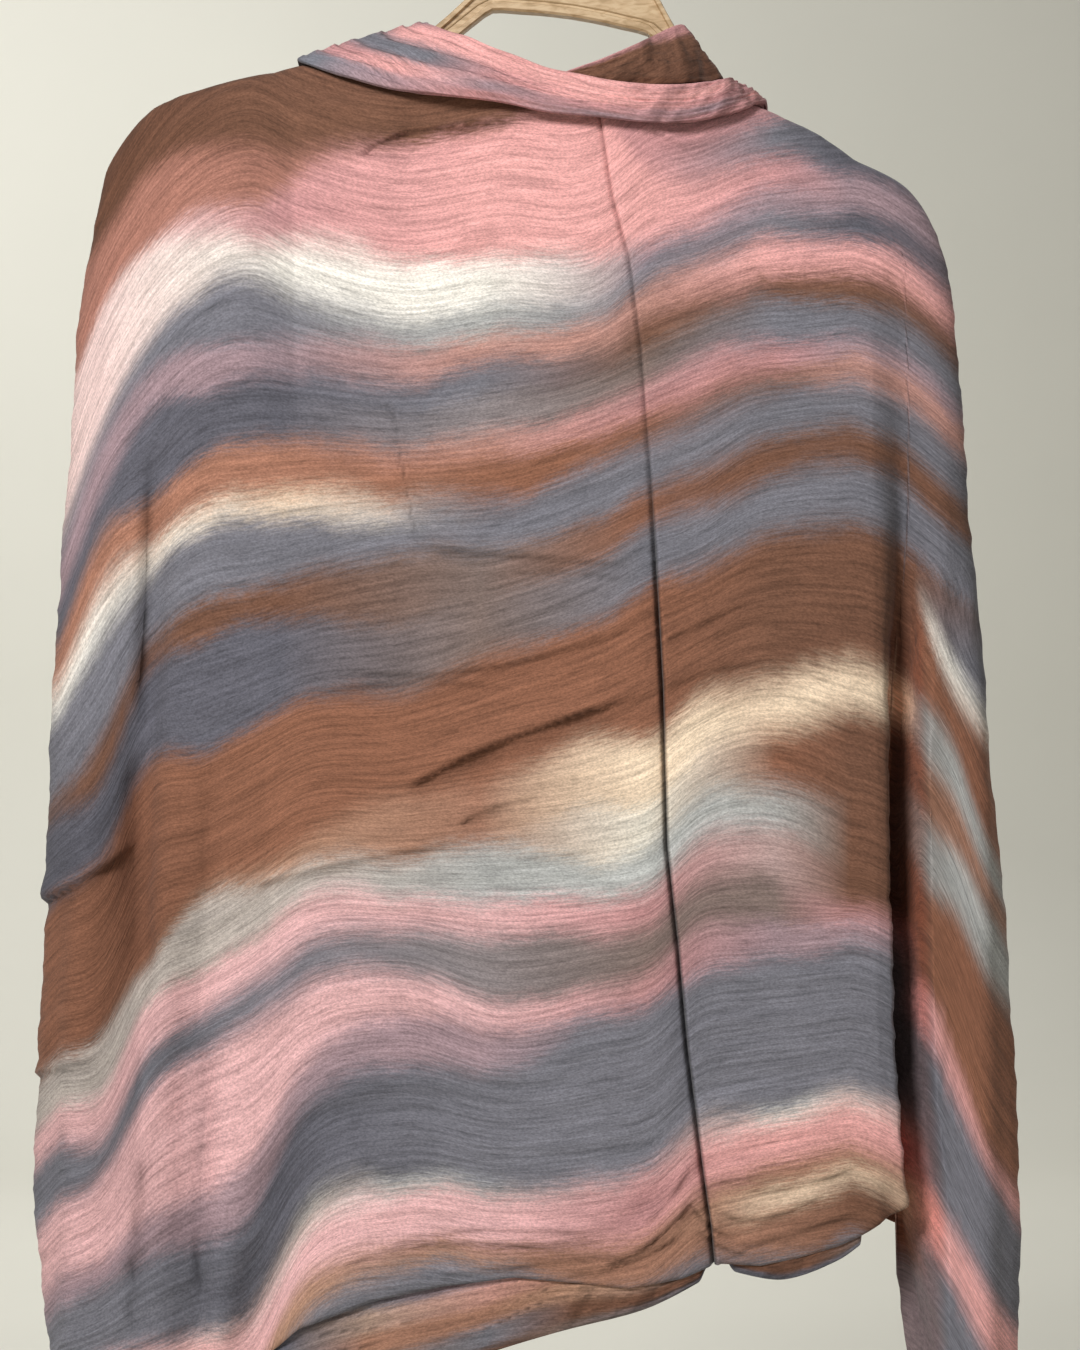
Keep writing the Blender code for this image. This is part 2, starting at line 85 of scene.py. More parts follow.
def smoothBetween(a, b, slopeA, slopeB, f):
    # a smooth curve from a to b, with its slope at each end
    return (a * (2 * f**3 - 3 * f**2 + 1) + slopeA * (f**3 - 2 * f**2 + f)
            + b * (3 * f**2 - 2 * f**3) + slopeB * (f**3 - f**2))


def splineRows(rows, t):
    # a smooth curve through the rows of a table, read at places between whole rows
    rows = np.asarray(rows, float)
    t = np.clip(np.atleast_1d(np.asarray(t, float)), 0.0, len(rows) - 1.0)
    i = np.minimum(t.astype(int), len(rows) - 2)
    a, b = rows[i], rows[i + 1]
    slopeA = (b - rows[np.maximum(i - 1, 0)]) / 2
    slopeB = (rows[np.minimum(i + 2, len(rows) - 1)] - a) / 2
    return smoothBetween(a, b, slopeA, slopeB, (t - i)[:, None])


def readTable(table, key, column=1):
    rows = np.asarray(sorted(table), float)
    return np.interp(key, rows[:, 0], rows[:, column])


waves = ((1.0, 0.5), (1.73, 0.3), (2.91, 0.2), (4.37, 0.12))  # how fast each sine turns, and its share


def wander(a, b, seed):
    # a soft, even noise from a few sines, between about -1 and 1
    total = 0.0
    for i, (turn, share) in enumerate(waves):
        phase = seed * 2.4 + i * 1.9
        total = total + share * np.sin(turn * a + 1.3 * np.sin(turn * 0.61 * b + phase) + phase * 1.7)
    return total


drape = {
    # left x, left z, right x, right z, front z, front depth, back depth, squareness
    "rings": (
        (-141, -136, 84, -160.5, -164, 30, 22, 2.3),
        (-181, -142.5, 118, -174.5, -188, 34, 27, 2.4),
        (-224, -152, 151, -194.5, -214, 38, 32, 2.4),
        (-257, -167.5, 180, -212, -242, 42, 36, 2.5),
        (-278, -196, 197, -241, -274, 46, 40, 2.6),
        (-286, -225, 203, -268, -306, 50, 43, 2.7),
        (-295, -282, 208, -309, -346, 54, 45, 2.8),
        (-300, -355, 211, -360, -401, 59, 49, 3.0),
        (-307, -452, 218, -450, -475, 64, 52, 3.0),
        (-312, -544, 226, -544, -556, 68, 54, 3.0),
        (-314, -619, 233, -619, -628, 70, 55, 3.0),
        (-318, -711, 239, -711, -711, 71, 55, 3.0),
        (-320, -792, 242, -792, -792, 71, 54, 3.0),
        (-311, -875, 241, -875, -875, 70, 52, 2.9),
        (-298, -960, 236, -960, -960, 68, 50, 2.8),
    ),
    # how the tuck and the pleat's near edge run down the front: height, x
    "tuckLine": ((-160, 0), (-224, 9), (-259, 18), (-309, 24), (-393, 30), (-503, 36), (-585, 38),
                 (-640, 44), (-694, 49), (-749, 56), (-793, 62), (-960, 78)),
    "recessEdge": ((-160, 56), (-240, 138), (-280, 150), (-365, 152), (-426, 156), (-586, 158),
                   (-724, 163), (-788, 170), (-960, 172)),
    # height, depth and width of the pleat between the front and the right fall
    "recess": ((-160, 0, 12), (-240, 0, 20), (-280, 0, 33), (-365, 5, 34), (-426, 14, 32),
               (-504, 34, 31), (-585, 50, 30), (-670, 57, 28), (-960, 57, 26)),
    # x and z at the top, x and z at the foot, half width, depth, and 1 where it is behind
    "folds": (
        (-248, -370, -262, -700, 17, -15, 0), (-224, -600, -226, -960, 15, -11, 0),
        (-140, -760, -222, -930, 22, -13, 0), (-120, -190, -60, -180, 26, -5, 0),
        (-285, -520, -290, -960, 15, 6, 0), (210, -420, 214, -960, 16, 7, 0),
        (-300, -400, -296, -960, 14, -8, 1), (-258, -260, -262, -960, 18, 8, 1),
        (-222, -220, -226, -960, 14, -9, 1), (-190, -230, -192, -900, 13, 8, 1),
        (-160, -220, -162, -860, 12, -8, 1), (214, -360, 218, -960, 13, -8, 1),
        (180, -280, 190, -960, 16, 8, 1), (148, -250, 156, -900, 13, -9, 1),
        (116, -230, 118, -860, 12, 8, 1),
    ),
    "foldFade": (-0.05, 0.3, 0.75, 1.1),  # where along it a fold comes in, and where it runs out
    "foldFall": 1.6,  # how quickly a fold falls away sideways
    "foldBeyond": 0.25,  # how far its line is followed beyond its ends
    "cutHere": -959,  # a fold that ends above this runs out before the hem
    "sideSeam": -0.62,  # share of the half width, where the left fall's sheet turns to the front
    "backEdges": (-135.0, 83.0),  # x of the two edges of the open middle behind
    "steps": 720,  # points round each ring
    "levelStep": 0.025,  # of the way from one ring to the next
    "reach": 700,  # mm each way round from the front's middle
    "outwardOver": 3,  # mm to each side over which the outward way is read
}
pleat = {  # how the recess runs in and out again, in shares of its width
    "sharpFrom": 12.0,  # mm deep where its far wall begins to steepen
    "sharpOver": 30.0,
    "floorAt": 0.75,
    "wallFrom": (0.4, 0.4),  # where the far wall starts, and how much later when sharp
    "wallOver": (1.05, 0.77),  # how far it runs, and how much less when sharp
    "lap": 5.0,  # mm that the right fall laps over the recess
    "lapAt": 1.1,
    "lapOver": 0.13,
    "lobeFrom": 1.15,  # where the right fall's own sheet starts
    "lobeDye": (0.86, 1.0),  # where the bands change to those of the right fall
    "lobeDyeDepth": (12, 30),  # mm deep where that change comes in
    "shade": (0.15, 0.7, 0.98, 1.06),  # where across it the shade comes in and ends
    "shadeDown": (520, 780),  # px down the image where it comes in
}


def layOutDrape():
    steps = drape["steps"]
    quarter = steps // 4
    levels = np.arange(0, len(drape["rings"]) - 1 + 1e-6, drape["levelStep"])
    around = np.arange(-drape["reach"], drape["reach"] + 1.0)
    leftX, leftZ, rightX, rightZ, frontZ, front, back, square = splineRows(drape["rings"], levels).T
    turn = np.linspace(-np.pi, np.pi, steps + 1)
    power = (2 / square)[:, None]
    across = np.sign(np.sin(turn)) * np.abs(np.sin(turn)) ** power
    depth = np.sign(np.cos(turn)) * np.abs(np.cos(turn)) ** power
    middle, half = (leftX + rightX) / 2, (rightX - leftX) / 2
    x = middle[:, None] + half[:, None] * across
    y = np.where(depth > 0, -front[:, None], -back[:, None]) * depth
    z = frontZ[:, None] * (1 - across**2) + np.where(across > 0, rightZ[:, None], leftZ[:, None]) * across**2
    s = np.cumsum(np.hypot(np.diff(x, prepend=x[:, :1]), np.diff(y, prepend=y[:, :1])), axis=1)
    s -= s[:, [steps // 2]]
    frontPart = slice(quarter, 3 * quarter + 1)

    def frontS(i, wanted):
        return np.interp(wanted, x[i, frontPart], s[i, frontPart])

    def backS(i, wanted):
        part = slice(0, quarter + 1) if np.mean(wanted) < middle[i] else slice(3 * quarter, steps + 1)
        return np.interp(wanted, x[i, part][::-1], s[i, part][::-1])

    def onRings(find, wanted):
        return np.array([find(i, x) for i, x in enumerate(wanted)])

    every = np.ones(len(levels))
    guides = {
        "tuck": onRings(frontS, readTable(drape["tuckLine"], frontZ)),
        "recessEdge": onRings(frontS, readTable(drape["recessEdge"], frontZ)),
        "recessWidth": readTable(drape["recess"], frontZ, 2),
        "sideSeam": onRings(frontS, middle + drape["sideSeam"] * half),
        "leftSide": s[:, quarter],
        "rightSide": s[:, 3 * quarter],
        "leftInner": onRings(backS, every * drape["backEdges"][0]),
        "rightInner": onRings(backS, every * drape["backEdges"][1]),
    }
    guides["lobeEdge"] = guides["recessEdge"] + pleat["lobeFrom"] * guides["recessWidth"]
    place = np.stack([np.array([np.interp(around, *row) for row in zip(s, c)]) for c in (x, y, z)], -1)
    ahead, behind = (np.roll(place, way * drape["outwardOver"], 1) for way in (-1, 1))
    outward = np.stack([ahead[..., 1] - behind[..., 1], behind[..., 0] - ahead[..., 0],
                        np.zeros(place.shape[:2])], -1)
    outward = unit(outward)

    t = (around[None, :] - guides["recessEdge"][:, None]) / guides["recessWidth"][:, None]
    recessDepth = readTable(drape["recess"], frontZ)[:, None]
    sharp = np.clip((recessDepth - pleat["sharpFrom"]) / pleat["sharpOver"], 0, 1)
    (wallFrom, later), (wallOver, less) = pleat["wallFrom"], pleat["wallOver"]
    wall = smoothStep(0.0, 1.0, (t - wallFrom - later * sharp) / (wallOver - less * sharp))
    out = -recessDepth * smoothStep(0.0, pleat["floorAt"], t) * (1 - wall)
    lap = -pleat["lap"] * sharp * np.exp(-(((t - pleat["lapAt"]) / pleat["lapOver"]) ** 2))
    beyond = drape["foldBeyond"]
    for xTop, zTop, xFoot, zFoot, width, deep, behindIt in drape["folds"]:
        runsAcross = zFoot > zTop
        if runsAcross:
            run = (place[..., 0] - xTop) / (xFoot - xTop)
        else:
            run = (place[..., 2] - zTop) / (zFoot - zTop)
        if zFoot > drape["cutHere"]:
            fade = inAndOut(drape["foldFade"], run)
        else:
            fade = smoothStep(*drape["foldFade"][:2], run)
        if runsAcross:
            away = (place[..., 2] - (zTop + (zFoot - zTop) * run)) / width
            fade = fade * (place[..., 1] < 0)
        else:
            wanted = xTop + (xFoot - xTop) * np.clip(run, -beyond, 1 + beyond)
            away = (around - onRings(backS if behindIt else frontS, wanted)) / width
        out = out + deep * fade * np.exp(-drape["foldFall"] * away * away)
    beside = np.stack([-outward[..., 1], outward[..., 0], outward[..., 2]], -1)
    place = place + outward * out[..., None] + beside * lap[..., None]
    facing = unit(-np.cross(np.gradient(place, axis=1), np.gradient(place, axis=0)))
    return {"levels": levels, "frontZ": frontZ, "guides": guides, "place": place, "facing": facing}


stole = layOutDrape()
print("drape laid out:", stole["place"].shape)


def atLevel(name, level):
    return np.interp(level, stole["levels"], stole["guides"][name])


def levelAt(frontHeight):
    return np.interp(-frontHeight, -stole["frontZ"], stole["levels"])


def onStole(level, s):
    # the place on the drape and the way it faces
    i = np.clip(level / drape["levelStep"], 0, len(stole["levels"]) - 1.001)
    j = np.clip(s + drape["reach"], 0, 2 * drape["reach"] - 0.001)
    i0, j0 = i.astype(int), j.astype(int)
    fi, fj = (i - i0)[..., None], (j - j0)[..., None]
    found = []
    for grid in (stole["place"], stole["facing"]):
        top = grid[i0, j0] * (1 - fj) + grid[i0, j0 + 1] * fj
        low = grid[i0 + 1, j0] * (1 - fj) + grid[i0 + 1, j0 + 1] * fj
        found.append(top * (1 - fi) + low * fi)
    return found


def inPicture(place):
    # where a point falls in the 1080 x 1350 image, in pixels
    k = picture["mmPerPixel"]
    near = picture["distance"] / (picture["distance"] + place[..., 1])
    x = picture["centre"][0] + (picture["hookAt"][0] + place[..., 0] / k - picture["centre"][0]) * near
    y = picture["centre"][1] + (picture["hookAt"][1] - place[..., 2] / k - picture["centre"][1]) * near
    return x, y


dyes = {  # how each dye looks on the dry cloth
    "rust": "#8C5F4A", "brown": "#755241", "darkBrown": "#654434", "rustMauve": "#A87566",
    "tan": "#9C725E", "camel": "#AE8770", "orange": "#A5745F", "sand": "#A48A7B", "taupe": "#7D6C66",
    "pink": "#E3A6A2", "rose": "#C48F8F", "softPink": "#DFB0B0", "blush": "#E6C9C4",
    "dustyPink": "#B89C98", "salmon": "#BC8C80", "mauve": "#A1888E", "ash": "#8A8182",
    "slate": "#76757D", "darkSlate": "#605F68", "blueSlate": "#7C7D86", "grey": "#AAAAA8",
    "paleGrey": "#B9BAB7", "warmGrey": "#B9AEA6", "white": "#F2ECE2", "creamWhite": "#E6DECF",
    "cream": "#F4DCC0",
}

# The bands of dye on the front, from the neck down. Each has its colour at six places across,
# and how far down the image its lower edge runs at fourteen places across.
tintPlaces = (100, 280, 480, 645, 775, 850)
bandPlaces = (60, 100, 150, 200, 250, 300, 400, 500, 600, 650, 700, 750, 800, 850)
bands = (
    ("darkBrown brown brown brown rose mauve",
     (300, 245, 172, 150, 146, 156, 145, 130, 104, 90, 90, 90, 90, 90)),
    ("rustMauve rustMauve rose rose rose mauve",
     (420, 318, 250, 214, 204, 182, 148, 132, 110, 146, 144, 124, 114, 112)),
    ("rose pink pink rose slate darkSlate",
     (425, 320, 254, 218, 210, 184, 150, 134, 112, 170, 178, 164, 158, 174)),
    ("blush rose pink pink rose mauve",
     (430, 322, 256, 240, 240, 245, 262, 258, 256, 238, 225, 195, 188, 196)),
    ("blush white white mauve mauve mauve",
     (540, 430, 340, 288, 268, 290, 316, 302, 296, 256, 240, 220, 212, 208)),
    ("slate slate grey slate slate darkSlate",
     (565, 455, 376, 345, 343, 342, 345, 336, 318, 281, 265, 246, 240, 240)),
    ("mauve mauve salmon salmon pink pink",
     (600, 500, 410, 390, 375, 371, 380, 360, 345, 312, 298, 280, 272, 268)),
    ("darkSlate darkSlate slate brown brown brown",
     (620, 520, 455, 420, 408, 404, 412, 396, 374, 345, 325, 302, 300, 300)),
    ("darkSlate darkSlate ash taupe slate slate",
     (640, 543, 500, 454, 445, 442, 446, 434, 405, 385, 362, 346, 342, 336)),
    ("orange orange salmon rose rose mauve",
     (655, 562, 515, 470, 462, 458, 462, 455, 430, 410, 396, 370, 364, 354)),
    ("orange orange rust rust brown salmon",
     (684, 602, 545, 509, 500, 496, 504, 508, 465, 447, 430, 400, 388, 386)),
    ("white cream white white white white",
     (708, 638, 564, 526, 515, 514, 513, 508, 465, 447, 430, 400, 388, 386)),
    ("slate slate slate slate slate slate",
     (790, 740, 640, 601, 590, 576, 552, 549, 515, 492, 474, 442, 430, 426)),
    ("brown brown taupe rust brown brown",
     (808, 786, 668, 640, 623, 620, 620, 590, 557, 527, 508, 486, 468, 464)),
    ("darkSlate darkSlate taupe slate slate slate",
     (888, 862, 766, 752, 728, 702, 690, 652, 617, 588, 567, 538, 527, 524)),
    ("rust rust rust rust brown brown",
     (1056, 1030, 948, 890, 868, 846, 796, 780, 738, 738, 706, 694, 675, 667)),
    ("brown camel tan cream cream cream",
     (1062, 1043, 964, 904, 886, 872, 860, 838, 805, 800, 756, 730, 720, 704)),
    ("brown tan tan creamWhite rust brown",
     (1063, 1044, 965, 905, 887, 873, 864, 846, 862, 842, 796, 788, 792, 800)),
    ("warmGrey warmGrey grey paleGrey grey brown",
     (1108, 1098, 1002, 972, 940, 902, 897, 902, 897, 887, 842, 828, 838, 870)),
    ("softPink softPink softPink rose dustyPink brown",
     (1142, 1142, 1051, 1012, 982, 947, 927, 936, 931, 922, 882, 872, 890, 905)),
    ("slate slate ash taupe taupe rose",
     (1205, 1182, 1092, 1052, 1027, 992, 972, 1006, 987, 974, 930, 925, 922, 918)),
    ("softPink softPink softPink rose mauve mauve",
     (1272, 1265, 1212, 1192, 1162, 1072, 1012, 1031, 1009, 1003, 975, 960, 955, 941)),
    ("mauve mauve mauve slate slate slate",
     (1302, 1290, 1252, 1240, 1216, 1112, 1062, 1072, 1020, 1010, 985, 970, 962, 950)),
    ("slate darkSlate slate slate slate slate",
     (1385, 1372, 1358, 1336, 1322, 1226, 1180, 1188, 1182, 1171, 1129, 1115, 1106, 1097)),
    ("white white grey grey white white",
     (1386, 1374, 1360, 1340, 1327, 1241, 1191, 1198, 1188, 1176, 1140, 1123, 1116, 1105)),
    ("pink softPink softPink rose pink pink",
     (1440, 1425, 1405, 1388, 1368, 1292, 1242, 1246, 1240, 1234, 1192, 1166, 1157, 1146)),
    ("brown camel tan tan tan tan",
     (1480, 1460, 1430, 1400, 1380, 1318, 1256, 1258, 1262, 1250, 1214, 1194, 1186, 1170)),
    # a thin line, cream on the right: a painted highlight along the hem's fold
    ("brown camel camel tan cream cream",
     (1482, 1462, 1432, 1402, 1382, 1324, 1262, 1264, 1264, 1252, 1220, 1208, 1200, 1180)),
    ("brown camel tan tan tan brown",
     (1500, 1480, 1450, 1420, 1400, 1330, 1268, 1270, 1290, 1288, 1258, 1256, 1254, 1236)),
    ("slate slate slate slate slate slate", None),
)

# The same on the right fall, where the bands run steeply down round the side.
lobePlaces = (880, 905, 930, 955, 985, 1012)
lobeBands = (
    ("rose rose rose", (190, 190, 205, 235, 290, 340)),
    ("mauve mauve mauve", (232, 233, 247, 272, 330, 380)),
    ("darkSlate slate slate", (258, 259, 277, 296, 350, 400)),
    ("pink pink rose", (280, 282, 300, 318, 375, 425)),
    ("brown brown brown", (302, 304, 322, 342, 410, 465)),
    ("slate blueSlate blueSlate", (330, 332, 356, 392, 470, 530)),
    ("mauve taupe taupe", (430, 425, 432, 470, 540, 600)),
    ("brown brown taupe", (465, 462, 478, 522, 590, 650)),
    ("darkSlate slate slate", (540, 560, 608, 662, 712, 756)),
    ("white white white", (542, 566, 634, 690, 730, 775)),
    ("rust rust rust", (700, 690, 712, 752, 836, 890)),
    ("taupe grey grey", (740, 730, 770, 800, 872, 920)),
    ("brown tan tan", (800, 790, 830, 850, 905, 950)),
    ("taupe grey grey", (860, 850, 890, 912, 970, 1008)),
    ("rust rust rust", (1000, 985, 1000, 1058, 1140, 1186)),
    ("rose pink pink", (1030, 1020, 1042, 1096, 1162, 1214)),
    ("darkSlate slate slate", (1180, 1175, 1190, 1230, 1285, 1325)),
    ("rose pink pink", (1230, 1222, 1236, 1284, 1345, 1390)),
    ("darkSlate slate slate", None),
)
lobeTints = (885, 950, 1005)
dyeing = {
    "softEdge": 13.0,  # px over which one band runs into the next
    "bleed": 1.6,  # how much softer it is between a pale band and a dark one
    "drift": 5.0,  # px that the edges wander
    "driftOver": (31.0, 60.0, 1.0),  # px across and down in one wave, and its seed
    "unevenEdge": 0.5,
    "unevenOver": (55.0, 90.0, 8.0),
    "sideSlope": 1.15,  # how steeply the bands run down behind the sides
    "shoulder": 90.0,  # px past the front's right edge over which they come to run down
    "streak": 6.0,  # px up and down from which a fleck takes its colour
    "flowBands": (4, 8, 12, 14, 18, 20, 23),  # the bands whose lower edges steer the crinkle
    "lobeFlow": (1, 4, 8, 10, 14, 16),
    "thinnest": 4.0,  # px that two of those edges stay apart
    "recessShade": (1.15, 0.86, 0.78),  # painted shade in the deep recess, made warm as if lit by the cloth round it
}

# Lines pressed into the cloth when it was folded: x and y at the top, x and y at the foot,
# how much painted shade darkens the cloth beside the line (at the first, a doubled layer too), and on which
# side of the line (-1 left, 1 right).
pressedLines = (
    (290, 90, 296, 450, 0.16, -1), (434, 870, 440, 1200, 0.06, -1), (872, 300, 880, 1190, 0.2, 1),
    (204, 780, 198, 1380, 0.24, -1), (134, 700, 142, 1260, 0.2, -1), (265, 760, 270, 960, 0.08, -1),
)
pressing = {
    "fade": (-0.05, 0.15, 0.8, 1.05),  # where along it a line comes in, and where it runs out
    "edge": 1.5,  # px over which the tone changes
    "stays": 0.25,  # share of the tone that stays far from the line
    "fall": 60.0,  # px over which the rest is lost
}


def toLinear(hexColour):
    channels = [int(hexColour[i:i + 2], 16) / 255 for i in (1, 3, 5)]
    return [c / 12.92 if c <= 0.04045 else ((c + 0.055) / 1.055) ** 2.4 for c in channels]


palette = {name: np.array(toLinear(value)) for name, value in dyes.items()}


def bandEdge(places, heights, x):
    # how far down a band's edge runs, on a smooth curve, carried on round the sides
    across = np.asarray(places, float)
    down = np.asarray(heights, float)
    slope = np.gradient(down, across)
    inside = np.clip(x, across[0], across[-1])
    i = np.clip(np.searchsorted(across, inside) - 1, 0, len(across) - 2)
    gap = across[i + 1] - across[i]
    edge = smoothBetween(down[i], down[i + 1], slope[i] * gap, slope[i + 1] * gap, (inside - across[i]) / gap)
    left, right = np.maximum(across[0] - x, 0), np.maximum(x - across[-1], 0)
    if places is lobePlaces:
        return edge + dyeing["sideSlope"] * right
    return edge + dyeing["sideSlope"] * (left + right**2 / (right + dyeing["shoulder"]))


def dyeReader(table, places, tintsAt, x):
    # reads the dye at any height down the image, for these places across it
    edges = [bandEdge(places, row[1], x) for row in table[:-1]]
    tints = []
    for names, _ in table:
        keys = np.array([palette[name] for name in names.split()])
        tints.append(np.stack([np.interp(x, tintsAt, keys[:, n]) for n in range(3)], -1))

    def waver(y, over):
        across, down, seed = over
        return wander(x / across, y / down, seed)

    def dyeAt(y):
        y = y + dyeing["drift"] * waver(y, dyeing["driftOver"])
        soft = dyeing["softEdge"] * (1 + dyeing["unevenEdge"] * waver(y, dyeing["unevenOver"]))
        colour = tints[0]
        for i, edge in enumerate(edges):
            tint = tints[i + 1]
            contrast = np.abs(np.sqrt(tint[:, 1]) - np.sqrt(tints[i][:, 1]))
            if i + 1 < len(edges):  # a band that has run out to nothing takes the next one's colour
                wide = np.clip((edges[i + 1] - edge) / soft, 0, 1)[..., None]
                tint = tint * wide + tints[i + 2] * (1 - wide)
            mix = smoothStep(-1.0, 1.0, (y - edge) / (soft * (1 + dyeing["bleed"] * contrast)))[..., None]
            colour = colour * (1 - mix) + tint * mix
        return colour

    return dyeAt


def pressedShade(x, y):
    # painted shade: the cloth is darkened beside each pressed line
    total = np.ones_like(x)
    for xTop, yTop, xFoot, yFoot, dark, side in pressedLines:
        t = (y - yTop) / (yFoot - yTop)
        away = (x - xTop - (xFoot - xTop) * t) * side
        fade = inAndOut(pressing["fade"], t) * smoothStep(-pressing["edge"], pressing["edge"], away)
        far = np.exp(-np.maximum(away, 0) / pressing["fall"])
        total = total * (1 - dark * fade * (pressing["stays"] + (1 - pressing["stays"]) * far))
    return total


def flowAt(table, places, keys, x, y):
    # mm across the bands, so that crinkle and streaks follow them
    middle = places[len(places) // 2]
    reference = [float(np.interp(middle, places, table[i][1])) for i in keys]
    edges = [bandEdge(places, table[i][1], x) for i in keys]
    flow = reference[0] + (y - edges[0])
    for i in range(len(keys) - 1):
        share = (y - edges[i]) / np.maximum(edges[i + 1] - edges[i], dyeing["thinnest"])
        flow = np.where(y > edges[i], reference[i] + share * (reference[i + 1] - reference[i]), flow)
    flow = np.where(y > edges[-1], reference[-1] + (y - edges[-1]), flow)
    return flow * picture["mmPerPixel"]


def addNode(tree, kind, settings=None, links=None):
    # settings are attributes or socket values, links are socket: (node, output)
    node = tree.nodes.new(kind)
    for key, value in (settings or {}).items():
        if isinstance(key, str) and hasattr(node, key):
            setattr(node, key, value)
        else:
            node.inputs[key].default_value = value
    for socket, (source, output) in (links or {}).items():
        tree.links.new(source.outputs[output], node.inputs[socket])
    return node


def newMaterial(name):
    material = bpy.data.materials.new(name)
    material.use_nodes = True
    tree = material.node_tree
    tree.nodes.clear()
    return material, tree


viscose = {  # crinkled viscose crepe: matt, its crinkles about 2 mm apart along the bands
    "patterns": {  # mm along and across the bands, noise detail and seed
        "fleck": (7.0, 0.9, 2.0, 4.0),
        "weave": (1.5, 0.75, 1.0, 9.0),  # a thread is about 0.3 mm, too fine to show, so it is drawn coarser
        "crinkle": (13.0, 1.9, 2.0, 2.0),
        "line": (60.0, 2.2, 2.5, 17.0),
        "mottle": (24.0, 9.0, 2.0, 13.0),
        "rumple": (46.0, 12.0, 2.0, 6.0),
    },
    # each pattern's low and high values, and how dark and how pale they make the dye; mottle and weave are
    # the cloth's own uneven tone, crinkle is painted shade in the crinkles, and line is painted shade and
    # painted highlight along them
    "shades": (("mottle", 0.3, 0.7, 0.93, 1.07), ("weave", 0.3, 0.7, 0.8, 1.2),
               ("crinkle", 0.3, 0.46, 0.8, 1.0), ("line", 0.34, 0.66, 0.8, 1.18)),
    # how strongly each pattern stands out, and its height in mm, the broadest first
    "bumps": (("rumple", 0.6, 1.3), ("line", 0.7, 0.6), ("crinkle", 0.8, 0.42), ("weave", 0.6, 0.16)),
    "fleckBetween": (0.36, 0.64),
    "evenDye": 0.35,  # share of the dye that no fleck pulls up or down
    "roughness": 0.9,
    "specular": 0.15,
    "sheen": 0.06,
    "sheenRoughness": 0.5,
}


def viscoseMaterial():
    # plain weave with no shine; hard twisted yarn pulls it into fine crinkles, shaded by bumps and by painted
    # shade in the colour
    material, tree = newMaterial("crinkledViscose")
    uv = addNode(tree, "ShaderNodeUVMap", {"uv_map": "UVMap"})
    noise = {}
    for name, (along, across, detail, seed) in viscose["patterns"].items():
        scaled = addNode(tree, "ShaderNodeVectorMath",
                         {"operation": "MULTIPLY", 1: (1 / along, 1 / across, 1.0)}, {0: (uv, 0)})
        moved = addNode(tree, "ShaderNodeVectorMath",
                        {"operation": "ADD", 1: (seed, seed * 1.7, seed * 0.3)}, {0: (scaled, 0)})
        noise[name] = addNode(tree, "ShaderNodeTexNoise", {"Scale": 1.0, "Detail": detail, "Roughness": 0.6},
                              {"Vector": (moved, 0)})
    # the dye attributes hold the dye with painted shade multiplied in
    dye, dyeUp, dyeDown = (addNode(tree, "ShaderNodeAttribute", {"attribute_name": name})
                           for name in ("dye", "dyeUp", "dyeDown"))
    low, high = viscose["fleckBetween"]
    upOrDown = addNode(tree, "ShaderNodeMapRange", {"From Min": low, "From Max": high},
                       {"Value": (noise["fleck"], 0)})
    pulled = addNode(tree, "ShaderNodeMix", {"data_type": "RGBA"},
                     {0: (upOrDown, 0), 6: (dyeUp, 0), 7: (dyeDown, 0)})
    dyed = addNode(tree, "ShaderNodeMix", {"data_type": "RGBA", 0: viscose["evenDye"]},
                   {6: (pulled, 2), 7: (dye, 0)})
    colour = (dyed, 2)
    # the cloth's own mottle and weave, and the painted shade and highlight of the crinkle and line, scale the
    # dye
    for name, low, high, dark, pale in viscose["shades"]:
        level = addNode(tree, "ShaderNodeMapRange",
                        {"From Min": low, "From Max": high, "To Min": dark, "To Max": pale},
                        {"Value": (noise[name], 0)})
        shaded = addNode(tree, "ShaderNodeVectorMath", {"operation": "SCALE"}, {0: colour, 3: (level, 0)})
        colour = (shaded, 0)
    normal = {}
    for name, strength, height in viscose["bumps"]:
        bump = addNode(tree, "ShaderNodeBump", {"Strength": strength, "Distance": height * mm},
                       {"Height": (noise[name], 0), **normal})
        normal = {"Normal": (bump, 0)}
    shader = addNode(tree, "ShaderNodeBsdfPrincipled", {
        "Roughness": viscose["roughness"], "Specular IOR Level": viscose["specular"],
        "Sheen Weight": viscose["sheen"], "Sheen Roughness": viscose["sheenRoughness"],
    }, {"Base Color": colour, **normal})
    addNode(tree, "ShaderNodeOutputMaterial", None, {"Surface": (shader, 0)})
    return material


plastic = {
    # places in the marbling, and the colour at each
    "marbling": ((0.36, "#A98C64"), (0.48, "#BD9F78"), (0.62, "#CBB08A")),
    # the darker colours of the raised line, painted shade
    "lineShade": ((0.0, "#8E734E"), (1.0, "#A98C64")),
    "marbleSize": 9.0,  # mm
    "flat": 3.2,  # the marbling's streaks are this much longer than they are high
    "skinScale": 900.0,  # dimples of the moulded skin, in a metre
    "lineShadeScale": 250.0,
    "ior": 1.59,
    "roughness": 0.42,
    "lineShadeRoughness": 0.6,
}
paper = {"between": ((0.0, 0.95), (1.0, 1.0)), "colour": "#D6D4CA", "patches": 3.0, "roughness": 0.95}


def setStops(ramp, stops):
    # places along a colour ramp, and the linear colour at each
    elements = ramp.color_ramp.elements
    elements[0].position, elements[1].position = stops[0][0], stops[-1][0]
    for i, (place, colour) in enumerate(stops):
        element = elements.new(place) if 0 < i < len(stops) - 1 else elements[0 if i == 0 else -1]
        element.color = (*colour, 1)


